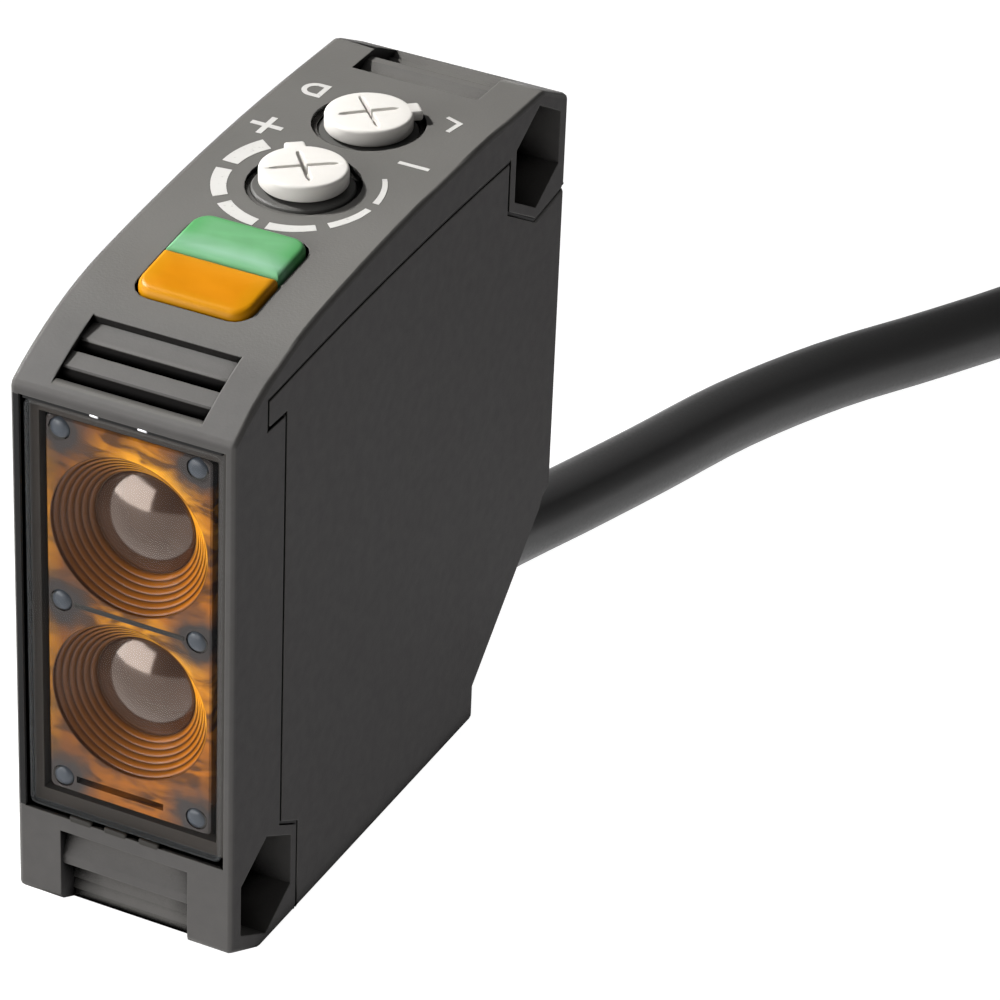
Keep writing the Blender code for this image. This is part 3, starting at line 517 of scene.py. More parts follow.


# The plastic's colour, and a darker copy of it that is painted shade on faces that aren't level.
SATIN, MATT_SHADE = (0.101, 0.097, 0.090), (0.049, 0.0466, 0.0468)
MATERIALS = {
    "housing": housing_plastic("housing_plastic"),
    "dark": plastic("dark_plastic", (0.026, 0.024, 0.021), 0.5, gloss=0.15),
    "knob": plastic("knob_plastic", (0.54, 0.52, 0.49), 0.5, 0.3, 0.006, 0.02, edge=0.1, gloss=0.2),
    "rubber": rubber("seal_rubber", (0.012, 0.012, 0.012)),
    "gasket": rubber("gasket_rubber", (0.034, 0.029, 0.025)),
    "collar": plastic("collar_plastic", (0.07, 0.068, 0.064), 0.53, 0.2, 0.012, gloss=0.3),
    "seam": plastic("seam_plastic", (0.03, 0.029, 0.029), 0.6, 0.2, 0.012, gloss=0.05),
    "bushing": rubber("bushing_rubber", (0.03, 0.03, 0.031)),
    "cable": jacket("cable_pvc", (0.026, 0.025, 0.025)),
    "tie": plastic("tie_nylon", (0.03, 0.03, 0.03), 0.4, 0.4, 0.01),
    "amber_plate": amber("amber_plate", False),
    "amber_rings": amber("amber_rings", True),
    "lens_dome": smoked_glass("lens_dome"),
    "pin": plastic("pin_plastic", (0.042, 0.049, 0.060), 0.35, 0.5, 0.006, gloss=0.3),
    "window": clear("window_clear", 0.003, 0.1),
    "window_rim": clear("window_rim", 0.06, 0.3),
    "green": lamp_plastic(
        "lamp_green", (0.11, 0.28, 0.13), (0.055, 0.23, 0.07, 1), (0.24, 0.37, 0.30, 1), 0.2
    ),
    "orange": lamp_plastic(
        "lamp_orange", (0.43, 0.155, 0.0005), (0.39, 0.17, 0.001, 1), (0.47, 0.2, 0.01, 1), 0.9
    ),
    "ink": print_ink("print_ink", (0.46, 0.45, 0.43)),
    "board": circuit_board("circuit_board"),
    "component": plastic("component_epoxy", (0.015, 0.015, 0.016), 0.4, 0.15, 0.01),
    "white": plastic("white_polymer", (0.75, 0.73, 0.68), 0.4),
    "blue": plastic("blue_polymer", (0.02, 0.07, 0.35), 0.4),
    "metal": metal("spring_steel", (0.62, 0.62, 0.64)),
    "copper": metal("bare_copper", (0.8, 0.42, 0.26), 0.28, (1, 6, 1)),
    "winding": winding("wire_winding"),
    "capacitor": metal("capacitor_can", (0.36, 0.36, 0.4), 0.4),
    **{"core_" + name: jacket("core_" + name, colour, 0.35) for name, colour in CORES.items()},
}

# The material of each CAD node that shows, or that a finer copy is made from
NODE_MATERIALS = {
    "housing": ("front_top_cover", "main_case"),
    "dark": ("lens_holder",),
    "gasket": ("window_gasket",),
    "rubber": ("sensitivity_seal", "mode_seal"),
    "board": ("optics_board", "control_board", "main_board"),
    "component": (
        *("output_relay", "bridge_rectifier", "regulator_ic", "mode_switch", "receiver_photodiode"),
        *("board_link_front", "board_link_rear"),
    ),
    "white": ("emitter_led", "optics_connector", "sensitivity_rotor", "mode_rotor"),
    "blue": ("sensitivity_potentiometer", "surge_varistor"),
    "metal": ("receiver_shield", "board_screw_1", "board_screw_2", "cable_clamp"),
    "winding": ("isolating_transformer",),
    "capacitor": ("smoothing_capacitor",),
    "green": ("green_led",),
    "orange": ("orange_led",),
    **{"core_" + colour: ("lead_" + colour,) for colour in CORES},
}


# ---- making and finishing pieces


def link(obj):
    bpy.context.scene.collection.objects.link(obj)
    return obj


def finish(obj, material, body="housing", sharp=35):
    """Gives the piece its material and sets it on its body."""
    obj.data.materials.clear()
    obj.data.materials.append(MATERIALS[material])
    if obj.type == "MESH":
        obj.data.shade_smooth()
        obj.data.set_sharp_from_angle(angle=math.radians(sharp))
    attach(obj, body)
    return obj


def from_bmesh(name, shape):
    mesh = bpy.data.meshes.new(name)
    bmesh.ops.recalc_face_normals(shape, faces=shape.faces)
    shape.to_mesh(mesh)
    shape.free()
    return link(bpy.data.objects.new(name, mesh))


def stacked(name, rings, capped=True):
    """A closed skin through rings of the same number of points, each point in metres."""
    shape = bmesh.new()
    rows = [[shape.verts.new(point) for point in ring] for ring in rings]
    for low, high in zip(rows, rows[1:]):
        for i in range(len(low)):
            j = (i + 1) % len(low)
            shape.faces.new((low[i], low[j], high[j], high[i]))
    if capped:
        shape.faces.new(rows[0])
        shape.faces.new(rows[-1])
    return from_bmesh(name, shape)


def turned(name, profile, axis=(0, 0, 1), steps=64):
    """A round piece about an axis through its own origin, from a closed profile of (radius, along)."""
    shape = bmesh.new()
    axis = Vector(axis).normalized()
    side = axis.orthogonal().normalized()
    other = axis.cross(side)
    rows = []
    for radius, along in profile:
        centre = axis * along * MM
        if radius <= 0:
            rows.append([shape.verts.new(centre)] * steps)
            continue
        angles = [2 * math.pi * k / steps for k in range(steps)]
        ways = [side * math.cos(a) + other * math.sin(a) for a in angles]
        rows.append([shape.verts.new(centre + way * radius * MM) for way in ways])
    pairs = list(zip(rows, rows[1:]))
    if profile[0][0] > 0:
        pairs.append((rows[-1], rows[0]))
    for low, high in pairs:
        for i in range(steps):
            j = (i + 1) % steps
            corners = list(dict.fromkeys((low[i], low[j], high[j], high[i])))
            if len(corners) > 2:
                shape.faces.new(corners)
    return from_bmesh(name, shape)


def block(name, low, high):
    """An upright box between two corners, each (x, depth, height)."""
    a, b = place(*low), place(*high)
    shape = bmesh.new()
    bmesh.ops.create_cube(shape, size=1)
    bmesh.ops.scale(shape, vec=b - a, verts=shape.verts)
    bmesh.ops.translate(shape, vec=(a + b) / 2, verts=shape.verts)
    return from_bmesh(name, shape)


def rounded(obj, width, segments=3, angle=30):
    edges = obj.modifiers.new("edges", "BEVEL")
    edges.width = width * MM
    edges.segments = segments
    edges.limit_method = "ANGLE"
    edges.angle_limit = math.radians(angle)
    return obj


def applied(obj):
    """The object with its modifiers made part of its mesh."""
    graph = bpy.context.evaluated_depsgraph_get()
    mesh = bpy.data.meshes.new_from_object(obj.evaluated_get(graph))
    obj.modifiers.clear()
    obj.data = mesh
    return obj


def welded(obj):
    """The object with the points that lie together merged."""
    shape = bmesh.new()
    shape.from_mesh(obj.data)
    bmesh.ops.remove_doubles(shape, verts=shape.verts, dist=0.001 * MM)
    shape.to_mesh(obj.data)
    shape.free()
    return obj


def cut_away(obj, cutters, operation="DIFFERENCE"):
    """Cuts each cutter from the object, or joins it on, and removes the cutter."""
    for cutter in cutters:
        boolean = obj.modifiers.new("cut", "BOOLEAN")
        boolean.operation = operation
        boolean.object = cutter
        boolean.solver = "EXACT"
    bpy.context.view_layer.update()
    applied(obj)
    for cutter in cutters:
        bpy.data.objects.remove(cutter)
    return obj


def refined(name, source):
    """A copy of a CAD node's mesh with its doubled points merged and its flat faces whole again."""
    shape = bmesh.new()
    shape.from_mesh(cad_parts[source].data)
    bmesh.ops.remove_doubles(shape, verts=shape.verts, dist=0.002 * MM)
    limit = math.radians(0.3)
    bmesh.ops.dissolve_limit(shape, angle_limit=limit, verts=shape.verts, edges=shape.edges)
    obj = from_bmesh(name, shape)
    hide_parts(source)
    return obj


def arc(centre, radius, start, end, steps):
    """Points along an arc, angles in degrees."""
    angles = [math.radians(start + (end - start) * i / steps) for i in range(steps + 1)]
    return [(centre[0] + radius * math.cos(a), centre[1] + radius * math.sin(a)) for a in angles]


# ---- camera, light and floor


def make_camera():
    data = bpy.data.cameras.new("camera")
    data.lens, data.sensor_width = LENS, SENSOR
    data.clip_start, data.clip_end = 0.01, 10
    camera = link(bpy.data.objects.new("camera", data))
    turn = Matrix.Rotation(math.radians(CAMERA_AZIMUTH), 4, "Z")
    tip = Matrix.Rotation(math.radians(90 - CAMERA_ELEVATION), 4, "X")
    roll = Matrix.Rotation(math.radians(CAMERA_ROLL), 4, "Z")
    camera.matrix_world = Matrix.Translation(place(*CAMERA_PLACE)) @ turn @ tip @ roll
    bpy.context.scene.camera = camera


def aim(light, where, target):
    lamp = link(bpy.data.objects.new(light.name, light))
    lamp.location = where
    lamp.rotation_euler = (Vector(target) - Vector(where)).to_track_quat("-Z", "Y").to_euler()


def make_studio():
    """A low front softbox, a narrow spot on the top face, and a glowing white floor with no shadow."""
    world = bpy.data.worlds.new("studio")
    bpy.context.scene.world = world
    world.use_nodes = True
    sky = world.node_tree.nodes["Background"].inputs
    sky["Color"].default_value = (1, 1, 1, 1)
    sky["Strength"].default_value = SKY_STRENGTH
    softbox = bpy.data.lights.new("front_softbox", "AREA")
    softbox.shape = "RECTANGLE"
    softbox.size, softbox.size_y = SOFTBOX_SIZE
    softbox.energy = SOFTBOX_WATTS
    aim(softbox, SOFTBOX_AT, SOFTBOX_AIM)
    snoot = bpy.data.lights.new("top_snoot", "SPOT")
    snoot.energy = SNOOT_WATTS
    snoot.spot_size, snoot.spot_blend = math.radians(SNOOT_DEGREES), 1.0
    snoot.shadow_soft_size = 0.06
    aim(snoot, SNOOT_AT, SNOOT_AIM)

    bpy.ops.mesh.primitive_plane_add(size=6, location=(0, 0, 0))
    floor = bpy.context.object
    floor.name = "floor"
    paint = blank("floor_paint")
    shade = ramp(noise(400), (0.3, 0.28), (0.7, 0.32))
    painted(paint, Base_Color=shade, Roughness=0.9, Specular_IOR_Level=0.05)
    painted(paint, Emission_Color=(1, 1, 1, 1), Emission_Strength=FLOOR_GLOW)
    floor.data.materials.append(paint)
    bpy.context.scene.view_settings.view_transform = "Standard"


# ---- the cable and its end


def smooth(guides, spacing):
    """Places about spacing apart on the Catmull-Rom curve from the second guide to the last but one."""
    places = []
    for p0, p1, p2, p3 in zip(guides, guides[1:], guides[2:], guides[3:]):
        steps = max(1, round((p2 - p1).length / spacing))
        for k in range(steps):
            t = k / steps
            bend = (2 * p0 - 5 * p1 + 4 * p2 - p3) * t**2 + (3 * p1 - p0 - 3 * p2 + p3) * t**3
            places.append(0.5 * (2 * p1 + (p2 - p0) * t + bend))
    return places + [guides[-2]]


def tube(name, places, radius, resolution=4):
    data = bpy.data.curves.new(name, "CURVE")
    data.dimensions = "3D"
    data.bevel_depth = radius * MM
    data.bevel_resolution = resolution
    data.use_fill_caps = True
    spline = data.splines.new("POLY")
    spline.points.add(len(places) - 1)
    for point, where in zip(spline.points, places):
        point.co = (*place(*where), 1)
    spline.use_smooth = True
    return link(bpy.data.objects.new(name, data))


def lead_guides():
    """The route of the cable from inside the case to the tied hank."""
    mouth, floor = Vector(EXIT), CABLE_R + 0.3
    right, low = HANK_X + TURN_RADII["outer"], HANK_BASE + CABLE_R
    return [
        mouth - EXIT_DIRECTION * 11.4,
        mouth - EXIT_DIRECTION * 7.4,
        mouth + EXIT_DIRECTION * 3.6,
        Vector((0.15, 51.6, 4.1)),
        *(Vector((x, depth, floor)) for x, depth in ON_FLOOR),
        Vector((32.4, 143.0, floor + 0.4)),
        Vector((33.8, 160.0, floor + 0.9)),
        Vector((right, HANK_NEAR - 18.6, low)),
        Vector((right, HANK_NEAR - 2, low)),
    ]


def hank_places():
    """The turns of the hank. Each goes out on the right, round the far end, and back on the left,
    where it shifts to the next turn's column and layer."""
    run, pitch = HANK_FAR - HANK_NEAR, 2 * CABLE_R
    turns = [(TURN_RADII[column], i // 2) for i, column in enumerate(HANK_COLUMNS)]
    turns.append((TURN_RADII["inner"], HANK_LAYERS))
    places = []
    for (radius, layer), (next_radius, next_layer) in zip(turns, turns[1:]):
        height = HANK_BASE + CABLE_R + pitch * layer
        climb = pitch * (next_layer - layer)
        for k in range(3):
            places.append((HANK_X + radius, HANK_NEAR + run * k / 3, height))
        for x, depth in arc((HANK_X, HANK_FAR), radius, 0, 180, 16)[:-1]:
            places.append((x, depth, height))
        for k in range(8):
            share = (k / 8) ** 2 * (3 - k / 4)
            across = radius + (next_radius - radius) * share
            places.append((HANK_X - across, HANK_FAR - run * k / 8, height + climb * share))
        for x, depth in arc((HANK_X, HANK_NEAR), next_radius, 180, 360, 16)[:-1]:
            places.append((x, depth, height + climb))
    return places


def rounded_rectangle(half_x, half_z, corner, steps=6):
    """Points (x, z) round an upright rectangle with round corners."""
    points = []
    for sx, sz, start in ((1, 1, 0), (-1, 1, 90), (-1, -1, 180), (1, -1, 270)):
        centre = (sx * (half_x - corner), sz * (half_z - corner))
        points += arc(centre, corner, start, start + 90, steps)
    return points


def make_tie(name, side):
    """A nylon tie round one long side of the hank: its strap, ratchet head and cut tail."""
    x = HANK_X + side * (TURN_RADII["inner"] + TURN_RADII["outer"]) / 2
    low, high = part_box(name)
    base, top = low.z / MM, high.z / MM
    half_x, half_z = (high.x - low.x) / 2 / MM, (top - base) / 2
    outer = rounded_rectangle(half_x, half_z, 2.0)
    inner = rounded_rectangle(half_x - TIE_THICK, half_z - TIE_THICK, 1.2)
    half = TIE_WIDE / 2
    loops = ((outer, -half), (outer, half), (inner, half), (inner, -half))
    rings = [[place(x + u, HANK_MIDDLE + d, (base + top) / 2 + v) for u, v in loop] for loop, d in loops]
    strap = rounded(welded(stacked(name + "_strap", rings + rings[:1], False)), 0.25, 2, 50)
    out, head_height = x + side * half_x, top - 4.5

    def beside(part, near, far, half_depth, down, up):
        """A block beside the strap, from near to far of it and from down to up of the head's middle."""
        start, end = sorted((out + side * near, out + side * far))
        low_corner = (start, HANK_MIDDLE - half_depth, head_height + down)
        return block(name + part, low_corner, (end, HANK_MIDDLE + half_depth, head_height + up))

    head = beside("_head", -0.3, 2.7, 2.6, -2.4, 2.4)
    cut_away(head, [beside("_slot", 0.7, 1.9, 1.7, -5, 5)])
    rounded(head, 0.45, 3)
    stub = rounded(beside("_tail", 0.85, 1.75, half - 0.15, -2.2, 4.1), 0.2, 2)
    for piece in (strap, head, stub):
        finish(piece, "tie")
    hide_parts(name)
    return [strap, head, stub]


def make_cores():
    """The five bared cores fan out from the cable's end, each with a twisted copper tip."""
    x, height = TAIL_X, TAIL_HEIGHT
    pieces = []
    for i, colour in enumerate(CORES):
        side = 1.5 * (i - (len(CORES) - 1) / 2)
        fan = [
            Vector((x + side, HANK_MIDDLE + 6.3, height)),
            Vector((x + side * 1.2, HANK_MIDDLE + 12, height - 0.6)),
            Vector((x + side * 1.6 - 0.6, HANK_FAR + 2, height - 1.9)),
            Vector((x + side * 1.9 - 2.4, HANK_FAR + 10, height - 2.1)),
            Vector((x + side * 2.1 - 6.0, HANK_FAR + 18, height - 2.1)),
        ]
        fan = [fan[0] * 2 - fan[1], *fan, fan[-1] * 2 - fan[-2]]
        line = smooth(fan, 1.0)
        core = tube("core_" + colour + "_insulation", line[:-CORE_BARE], CORE_R)
        finish(core, "core_" + colour)
        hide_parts("core_" + colour)
        strands = tube("core_" + colour + "_strands", line[-CORE_BARE - 1 :], CORE_R * 0.6)
        finish(strands, "copper")
        pieces += [core, strands]
    return pieces


def make_bushing():
    """The ribbed rubber bushing that the cable leaves through, tapered towards its mouth."""
    bore, inner, outer = CABLE_R + 0.12, -4.9, 3.6
    profile = [(bore, inner), (4.75, inner), (4.8, inner + 0.15), (4.8, -3.25), (4.65, -3.1), (3.85, -3.1)]
    for k in range(4):
        start, radius = 0.2 + 0.85 * k, 3.85 - 0.08 * k
        profile += [(radius, start), (radius - 0.3, start + 0.1)]
        profile += [(radius - 0.3, start + 0.35), (radius, start + 0.45)]
    profile += [(3.55, outer - 0.12), (3.4, outer), (bore + 0.25, outer), (bore, outer - 0.3)]
    bushing = turned("cable_grommet", profile, EXIT_DIRECTION, 48)
    bushing.location = place(*EXIT)
    finish(bushing, "bushing")
    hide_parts("cable_bushing")
    return bushing


def make_cable():
    lead = [tuple(p) for p in smooth(lead_guides(), 3.0)]
    tail = [(TAIL_X, depth, TAIL_HEIGHT) for depth in (HANK_NEAR, HANK_NEAR + 8, HANK_MIDDLE + 6)]
    route = lead + hank_places() + tail
    cable = tube("cable_run", route, CABLE_R, 6)
    finish(cable, "cable")
    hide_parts("cable", "cable_hank", "cable_tail")
    pieces = [make_bushing(), *make_tie("hank_tie_left", -1), *make_tie("hank_tie_right", 1), *make_cores()]


# ---- the window and the lenses


def outline(half, low, high, depth, corner, steps):
    """An upright rectangle with round corners, facing the front."""
    points = rounded_rectangle(half, (high - low) / 2, corner, steps)
    return [place(x, depth, (low + high) / 2 + z) for x, z in points]


def make_window():
    """A clear cover with a raised milky rim round its edge, and dark strips beside its left edge and along
    its top as painted shade.
    """
    face = PANE_FRONT + 0.12

    def edge(inset, depth):
        corner = max(PANE_CORNER - inset, 0.05)
        return outline(PANE_HALF - inset, PANE_LOW + inset, PANE_HIGH - inset, depth, corner, 4)

    pane = stacked("window_pane", [edge(PANE_RIM, PANE_BACK), edge(PANE_RIM, face)])
    finish(pane, "window")
    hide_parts("window_cover")
    rim = [(PANE_RIM, PANE_BACK), (0.05, PANE_BACK), (0, PANE_BACK - 0.1), (0, face), (0.12, PANE_FRONT)]
    rim += [(PANE_RIM - 0.1, PANE_FRONT), (PANE_RIM, face), (PANE_RIM, PANE_BACK)]
    frame_piece = stacked("window_rim", [edge(inset, depth) for inset, depth in rim], False)
    finish(frame_piece, "window_rim")
    # Painted shade: dark rubber strips stand in for the shade in the gap at the pane's left edge and top.
    side = block("window_shade_edge", (-8.46, -0.015, PANE_LOW - 0.3), (-7.95, 0.3, PANE_HIGH + 0.3))
    finish(rounded(side, 0.1, 2), "rubber")
    top = block("window_shade_top", (-PANE_HALF, 0.04, PANE_HIGH + 0.02), (PANE_HALF, 0.35, PANE_HIGH + 0.32))
    finish(rounded(top, 0.08, 2), "rubber")


def lens_profile():
    """The front of one lens, from the middle out, as (radius, depth): its dome, and its rounded rings."""
    bend = (DOME_R**2 + DOME_BULGE**2) / (2 * DOME_BULGE)
    spread = math.degrees(math.asin(DOME_R / bend))
    front = DOME_BASE + bend - DOME_BULGE
    dome = [(max(r, 0), front - z) for r, z in arc((0, 0), bend, 90, 90 - spread, 14)]
    pitch, rise = (LENS_R - DOME_R) / RING_COUNT, (RING_FRONT - DOME_BASE) / RING_COUNT
    steps = [
        (DOME_R + pitch * (i + share), DOME_BASE + rise * (i + share) - forward)
        for i in range(RING_COUNT)
        for share, forward in RING_RELIEF
    ]
    return dome, steps


def drill(name, radius, x, height, steps):
    """A cutter for a round hole through the lens plate."""
    cutter = turned(name, [(0, 3), (radius, 3), (radius, -3), (0, -3)], (0, -1, 0), steps)
    cutter.location = place(x, PLATE_FACE, height)
    return cutter


def lens_part(name, profile, height, material):
    """A round part of a lens, from a closed profile of (radius, depth)."""
    part = turned(name, [(r, d - PLATE_FACE) for r, d in profile], (0, 1, 0), 96)
    part.location = place(0, PLATE_FACE, height)
    return finish(part, material, sharp=60)


def make_lenses():
    rings = [
        outline(PLATE_HALF - inset, PLATE_LOW + inset, PLATE_HIGH - inset, depth, 0.4, 3)
        for inset, depth in ((0, PLATE_BACK), (0, PLATE_FACE + 0.12), (0.12, PLATE_FACE))
    ]
    plate = stacked("lens_plate_body", rings)
    holes = [drill("lens_hole", LENS_R + 0.02, 0, height, 96) for height in LENS_HEIGHTS]
    for x in (-PIN_X, PIN_X):
        holes += [drill("pin_hole", PIN_R + 0.04, x, height, 24) for height in PIN_HEIGHTS]
    holes.append(block("plate_slot", (-4.3, 0, 11.85), (2.7, 5, 12.4)))
    cut_away(plate, holes)
    finish(plate, "amber_plate")
    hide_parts("lens_plate")

    dome, steps = lens_profile()
    bore, back, edge = DOME_R - 0.3, PLATE_BACK + 0.6, steps[-1][1]
    lip = [(LENS_R - 0.06, edge), (LENS_R - 0.05, PLATE_FACE), (LENS_R, PLATE_FACE), (LENS_R, back)]
    for name, height in zip(("lower", "upper"), LENS_HEIGHTS):
        profile = [*steps, *lip, (bore, back), (bore, steps[0][1])]
        lens_part("lens_rings_" + name, profile, height, "amber_rings")
        lens_part("lens_dome_" + name, [*dome, (DOME_R, back), (0, back)], height, "lens_dome")


def make_catches():
    """Small catches that hold the lens plate at its top edge and the window at its lower edge,
    and the dark rib between the two lenses."""
    rib_low = sum(LENS_HEIGHTS) / 2 - 0.14
    catches = (
        ("catch_top_left", (-2.5, 0.0, 42.66), (-1.75, 0.3, 42.92), "metal"),
        ("catch_top_right", (1.2, 0.0, 42.66), (2.0, 0.3, 42.92), "metal"),
        ("catch_low_left", (-4.4, -0.03, 9.0), (-2.6, 0.3, 9.5), "dark"),
        ("catch_low_middle", (-1.6, -0.03, 9.0), (0.2, 0.3, 9.5), "dark"),
        ("catch_low_right", (1.2, -0.03, 9.0), (2.8, 0.3, 9.5), "dark"),
        ("lens_rib", (-4.4, 0.86, rib_low - 0.1), (4.4, 1.4, rib_low + 0.38), "dark"),
    )
    for name, low, high, material in catches:
        finish(rounded(block(name, low, high), 0.12, 3), material)


def make_pins():
    """Rounded heads of the six stakes that hold the lens plate."""
    head = [(0, -0.17), (0.3, -0.15), (0.58, -0.08), (0.76, 0.05), (PIN_R, 0.2), (PIN_R, 2.0), (0, 2.0)]
    for row, height in zip(("low", "middle", "high"), PIN_HEIGHTS):
        for side, hand in ((-1, "left"), (1, "right")):
            pin = turned(f"stake_{row}_{hand}", head, (0, 1, 0), 24)
            pin.location = place(side * PIN_X, PLATE_FACE, height)
            finish(pin, "pin")


# ---- the top


def make_lamp(name, colour, front, rear, corner_front, corner_rear):
    """One colour of the indicator: a soft-edged block that follows the top face."""
    rounding = 0.5

    def edge(inset, drop, base=None):
        """The block's outline, shrunk by inset, at one height or drop below its top."""
        half = LAMP_HALF - inset
        points = []
        for quarter, x in enumerate((half, -half, -half, half)):
            start, far = 90 * quarter, quarter < 2
            depth = rear - inset if far else front + inset
            corner = max((corner_rear if far else corner_front) - inset, 0.06)
            centre = (x - math.copysign(corner, x), depth - corner if far else depth + corner)
            points += arc(centre, corner, start, start + 90, 6)
        return [place(x, d, base if base else top_height(d) + LAMP_PROUD - drop) for x, d in points]

    rings = [edge(0, 0, LAMP_BASE), edge(0, LAMP_PROUD + 0.6), edge(0, rounding)]
    for k in range(1, 6):
        a = math.radians(18 * k)
        rings.append(edge(rounding * (1 - math.cos(a)), rounding * (1 - math.sin(a))))
    widest = min(LAMP_HALF, (rear - front) / 2) - rounding
    rings += [edge(rounding + widest * share, -0.05 * share) for share in (0.3, 0.55, 0.8, 0.95)]
    lamp = stacked("lamp_" + colour, rings)
    finish(lamp, colour, sharp=50)
    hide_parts(name)


def make_knob(name, depth, pointer, body):
    """A white slotted knob with a pointer tab on its rim."""
    underside = KNOB_TOP - KNOB_THICK
    soft = 0.28
    profile = [(0, KNOB_TOP), (KNOB_R * 0.6, KNOB_TOP - 0.01), (KNOB_R - soft, KNOB_TOP - 0.05)]
    profile += arc((KNOB_R - soft, KNOB_TOP - 0.05 - soft), soft, 75, 0, 5)
    profile += [(KNOB_R, underside + 0.15), (KNOB_R - 0.12, underside), (NECK_R, underside)]
    profile += [(NECK_R, WELL_FLOOR + 0.4), (NECK_R - 0.1, WELL_FLOOR + 0.3), (STEM_R, WELL_FLOOR + 0.3)]
    profile += [(STEM_R, STEM_END + 0.2), (STEM_R - 0.2, STEM_END), (0, STEM_END)]
    knob = turned(name + "_dial", [(r, z - KNOB_TOP) for r, z in profile], steps=72)
    middle = DEPTH / 2
    tab = block(name + "_tab", (KNOB_R - 0.9, middle - 0.75, -0.85), (KNOB_R + 0.65, middle + 0.75, -0.06))
    applied(rounded(tab, 0.2, 3))
    low, high = (-1.0, middle - 0.4, 44.3 - KNOB_TOP), (1.0, middle + 0.4, 46.0 - KNOB_TOP)
    key = block(name + "_key", low, high)
    cut_away(knob, [tab, key], "UNION")
    slots = []
    for axis, reach, sunk, width in (((0, 1, 0), 2.3, 0.85, 0.46), ((1, 0, 0), 2.6, 0.75, 0.4)):
        wheel_r = (reach**2 + sunk**2) / (2 * sunk)
        half = width / 2
        rim = [(0, half), (wheel_r - 0.25, half), (wheel_r, 0.08)]
        rim += [(r, -along) for r, along in rim[::-1]]
        wheel = turned(name + "_slot", rim, axis, 96)
        wheel.location = (0, 0, (wheel_r - sunk) * MM)
        slots.append(wheel)
    bpy.context.view_layer.update()
    cut_away(knob, slots)
    knob.location = place(0, depth, KNOB_TOP)
    knob.rotation_euler = (0, 0, math.radians(pointer))
    finish(knob, "knob", body, 40)
    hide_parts(name + "_knob")


def make_collar(name, depth):
    """The low ring round a knob's neck, just under its disc."""
    top = min(top_height(depth) - 0.12, KNOB_TOP - KNOB_THICK - 0.2)
    ring = [(2.05, -0.5), (2.05, -0.06), (2.11, 0), (3.6, 0), (3.7, -0.1), (3.7, -0.5)]
    collar = turned(name + "_collar", ring)
    collar.location = place(0, depth, top)
    finish(collar, "collar")


def printed(name, points):
    """A thin layer of ink on the top face, from its outline's points as (x, depth)."""
    levels = (-PRINT_SUNK, PRINT_PROUD)
    rings = [[place(x, d, top_height(d) + raised) for x, d in points] for raised in levels]
    finish(stacked(name, rings), "ink", sharp=40)


def moved(points, x, depth):
    return [(x + u, depth + v) for u, v in points]


def dial_segments():
    """The six bars round the sensitivity adjuster, which get thinner from + to -."""
    start, sweep, pitch, count = 144, 34, 43, 6
    whole = pitch * (count - 1) + sweep
    for i in range(count):
        inner, outer = [], []
        for k in range(9):
            turn = pitch * i + sweep * k / 8
            a, share = math.radians(start + turn), turn / whole
            for line, radius in ((inner, 5.35 + 0.15 * share), (outer, 6.75 - 0.9 * share)):
                line.append((radius * math.cos(a), radius * math.sin(a)))
        printed(f"dial_segment_{i + 1}", moved(inner + outer[::-1], 0, ADJUSTERS["sensitivity"][0]))


def letter_d(x, depth):
    """The D, which is a closed loop with a hole."""
    outer = [(0.85, -1.0), (0.85, 1.0), *arc((0, 0), 1.0, 90, 270, 14)]
    inner = [(0.45, -0.6), (0.45, 0.6), *arc((0, 0), 0.6, 90, 270, 14)]
    rings = []
    low, high = -PRINT_SUNK, PRINT_PROUD
    for loop, raised in ((outer, low), (outer, high), (inner, high), (inner, low)):
        rings.append([place(u, v, top_height(v) + raised) for u, v in moved(loop, x, depth)])
    finish(welded(stacked("mark_d", rings + rings[:1], False)), "ink", sharp=40)


def make_marks():
    dial_segments()
    half, arm = PRINT_STROKE / 2, 1.25
    cross = [(half, half), (half, arm), (-half, arm), (-half, half), (-arm, half), (-arm, -half)]
    printed("mark_plus", moved(cross + [(-u, -v) for u, v in cross], *PLUS_AT))
    bar = [(1.2, 0.18), (-1.2, 0.18), (-1.2, -0.18), (1.2, -0.18)]
    printed("mark_minus", moved(bar, *MINUS_AT))
    corner = [(0, 0), (-1.38, 0.5), (-1.48, 0.2), (-0.4, -0.19), (-0.6, -1.6), (-0.25, -1.64)]
    printed("mark_l", moved(corner, *L_AT))
    letter_d(*D_AT)


# ---- the whole


def dress_nodes():
    for material, names in NODE_MATERIALS.items():
        for name in names:
            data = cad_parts[name].data
            data.materials.clear()
            data.materials.append(MATERIALS[material])


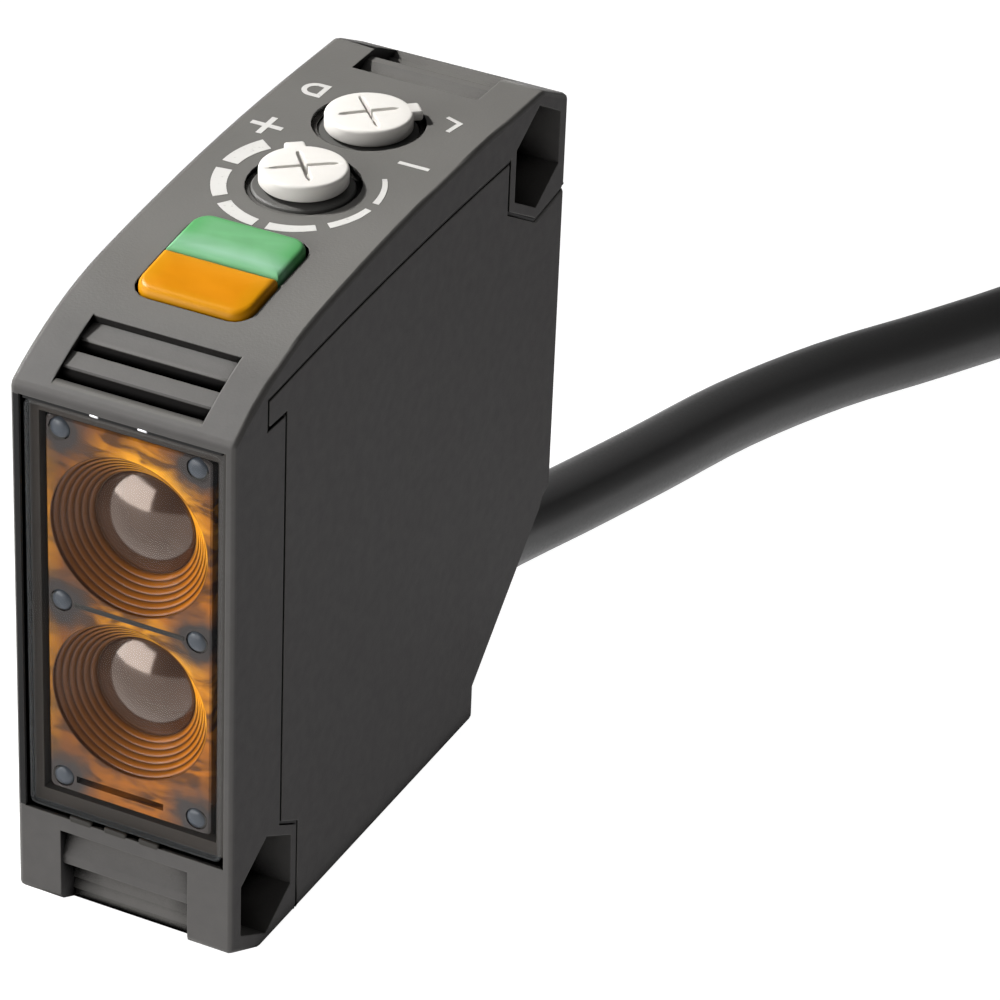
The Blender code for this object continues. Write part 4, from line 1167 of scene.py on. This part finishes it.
def even_normals(obj):
    """Normals that let light run evenly: true ones on the top face and on flat faces, and elsewhere ones
    weighted by face size."""
    weighted = obj.modifiers.new("normals", "WEIGHTED_NORMAL")
    weighted.keep_sharp = True
    weighted.weight = 100
    applied(obj)
    mesh = obj.data
    normals = [Vector(corner.vector) for corner in mesh.corner_normals]
    for face in mesh.polygons:
        depth, height = face.center.y / MM + DEPTH / 2, face.center.z / MM
        flat = face.area > 0.5 * MM**2 and max(abs(part) for part in face.normal) > 0.9995
        on_top = 0.6 < depth < DEPTH - 0.6 and abs(height - top_height(depth)) < 0.06
        if flat or on_top and face.normal.dot(top_normal(depth)) > 0.998:
            for i in face.loop_indices:
                corner = mesh.vertices[mesh.loops[i].vertex_index].co
                normals[i] = face.normal.copy() if flat else top_normal(corner.y / MM + DEPTH / 2)
    mesh.normals_split_custom_set(normals)


def seam_line():
    """The middle of the seam as (depth, height), from the foot round to the rear."""
    steps = 16
    depths = [SEAM_JOG + (SEAM_REAR - SEAM_JOG) * i / steps for i in range(steps + 1)]
    centre = SEAM_HIGH - SEAM_ARC
    return [
        (SEAM_FOOT, 0.4),
        (SEAM_FOOT, 7.7),
        (SEAM_FRONT, 9.15),
        (SEAM_FRONT, SEAM_STEP_HEIGHT),
        (SEAM_JOG, SEAM_STEP_HEIGHT),
        *((depth, centre + math.sqrt(SEAM_ARC**2 - (SEAM_REAR - depth) ** 2)) for depth in depths),
        (40.75, SEAM_HIGH),
        (40.75, 42.3),
        (45, 39.75),
        (49.6, 40.45),
    ]


def make_seams():
    """The case's lap, which shows a little below the surface in the seam."""
    for side, hand in ((-SEAM_SIDE, "left"), (SEAM_SIDE, "right")):
        lap = tube("seam_" + hand, [(side, *point) for point in seam_line()], SEAM_LAP_R)
        finish(lap, "seam")


def make_housing():
    for name, source in (("cover_shell", "front_top_cover"), ("case_shell", "main_case")):
        even_normals(finish(refined(name, source), "housing"))


make_camera()
make_studio()
make_cable()
dress_nodes()
make_housing()
make_seams()
make_window()
make_lenses()
make_pins()
make_catches()
make_lamp("indicator_orange", "orange", LAMP_FRONT, LAMP_SPLIT - 0.02, LAMP_CORNER, 0.15)
make_lamp("indicator_green", "green", LAMP_SPLIT + 0.02, LAMP_REAR, 0.15, LAMP_CORNER)
for adjuster, settings in ADJUSTERS.items():
    make_knob(adjuster, *settings)
    make_collar(adjuster, settings[0])
make_marks()
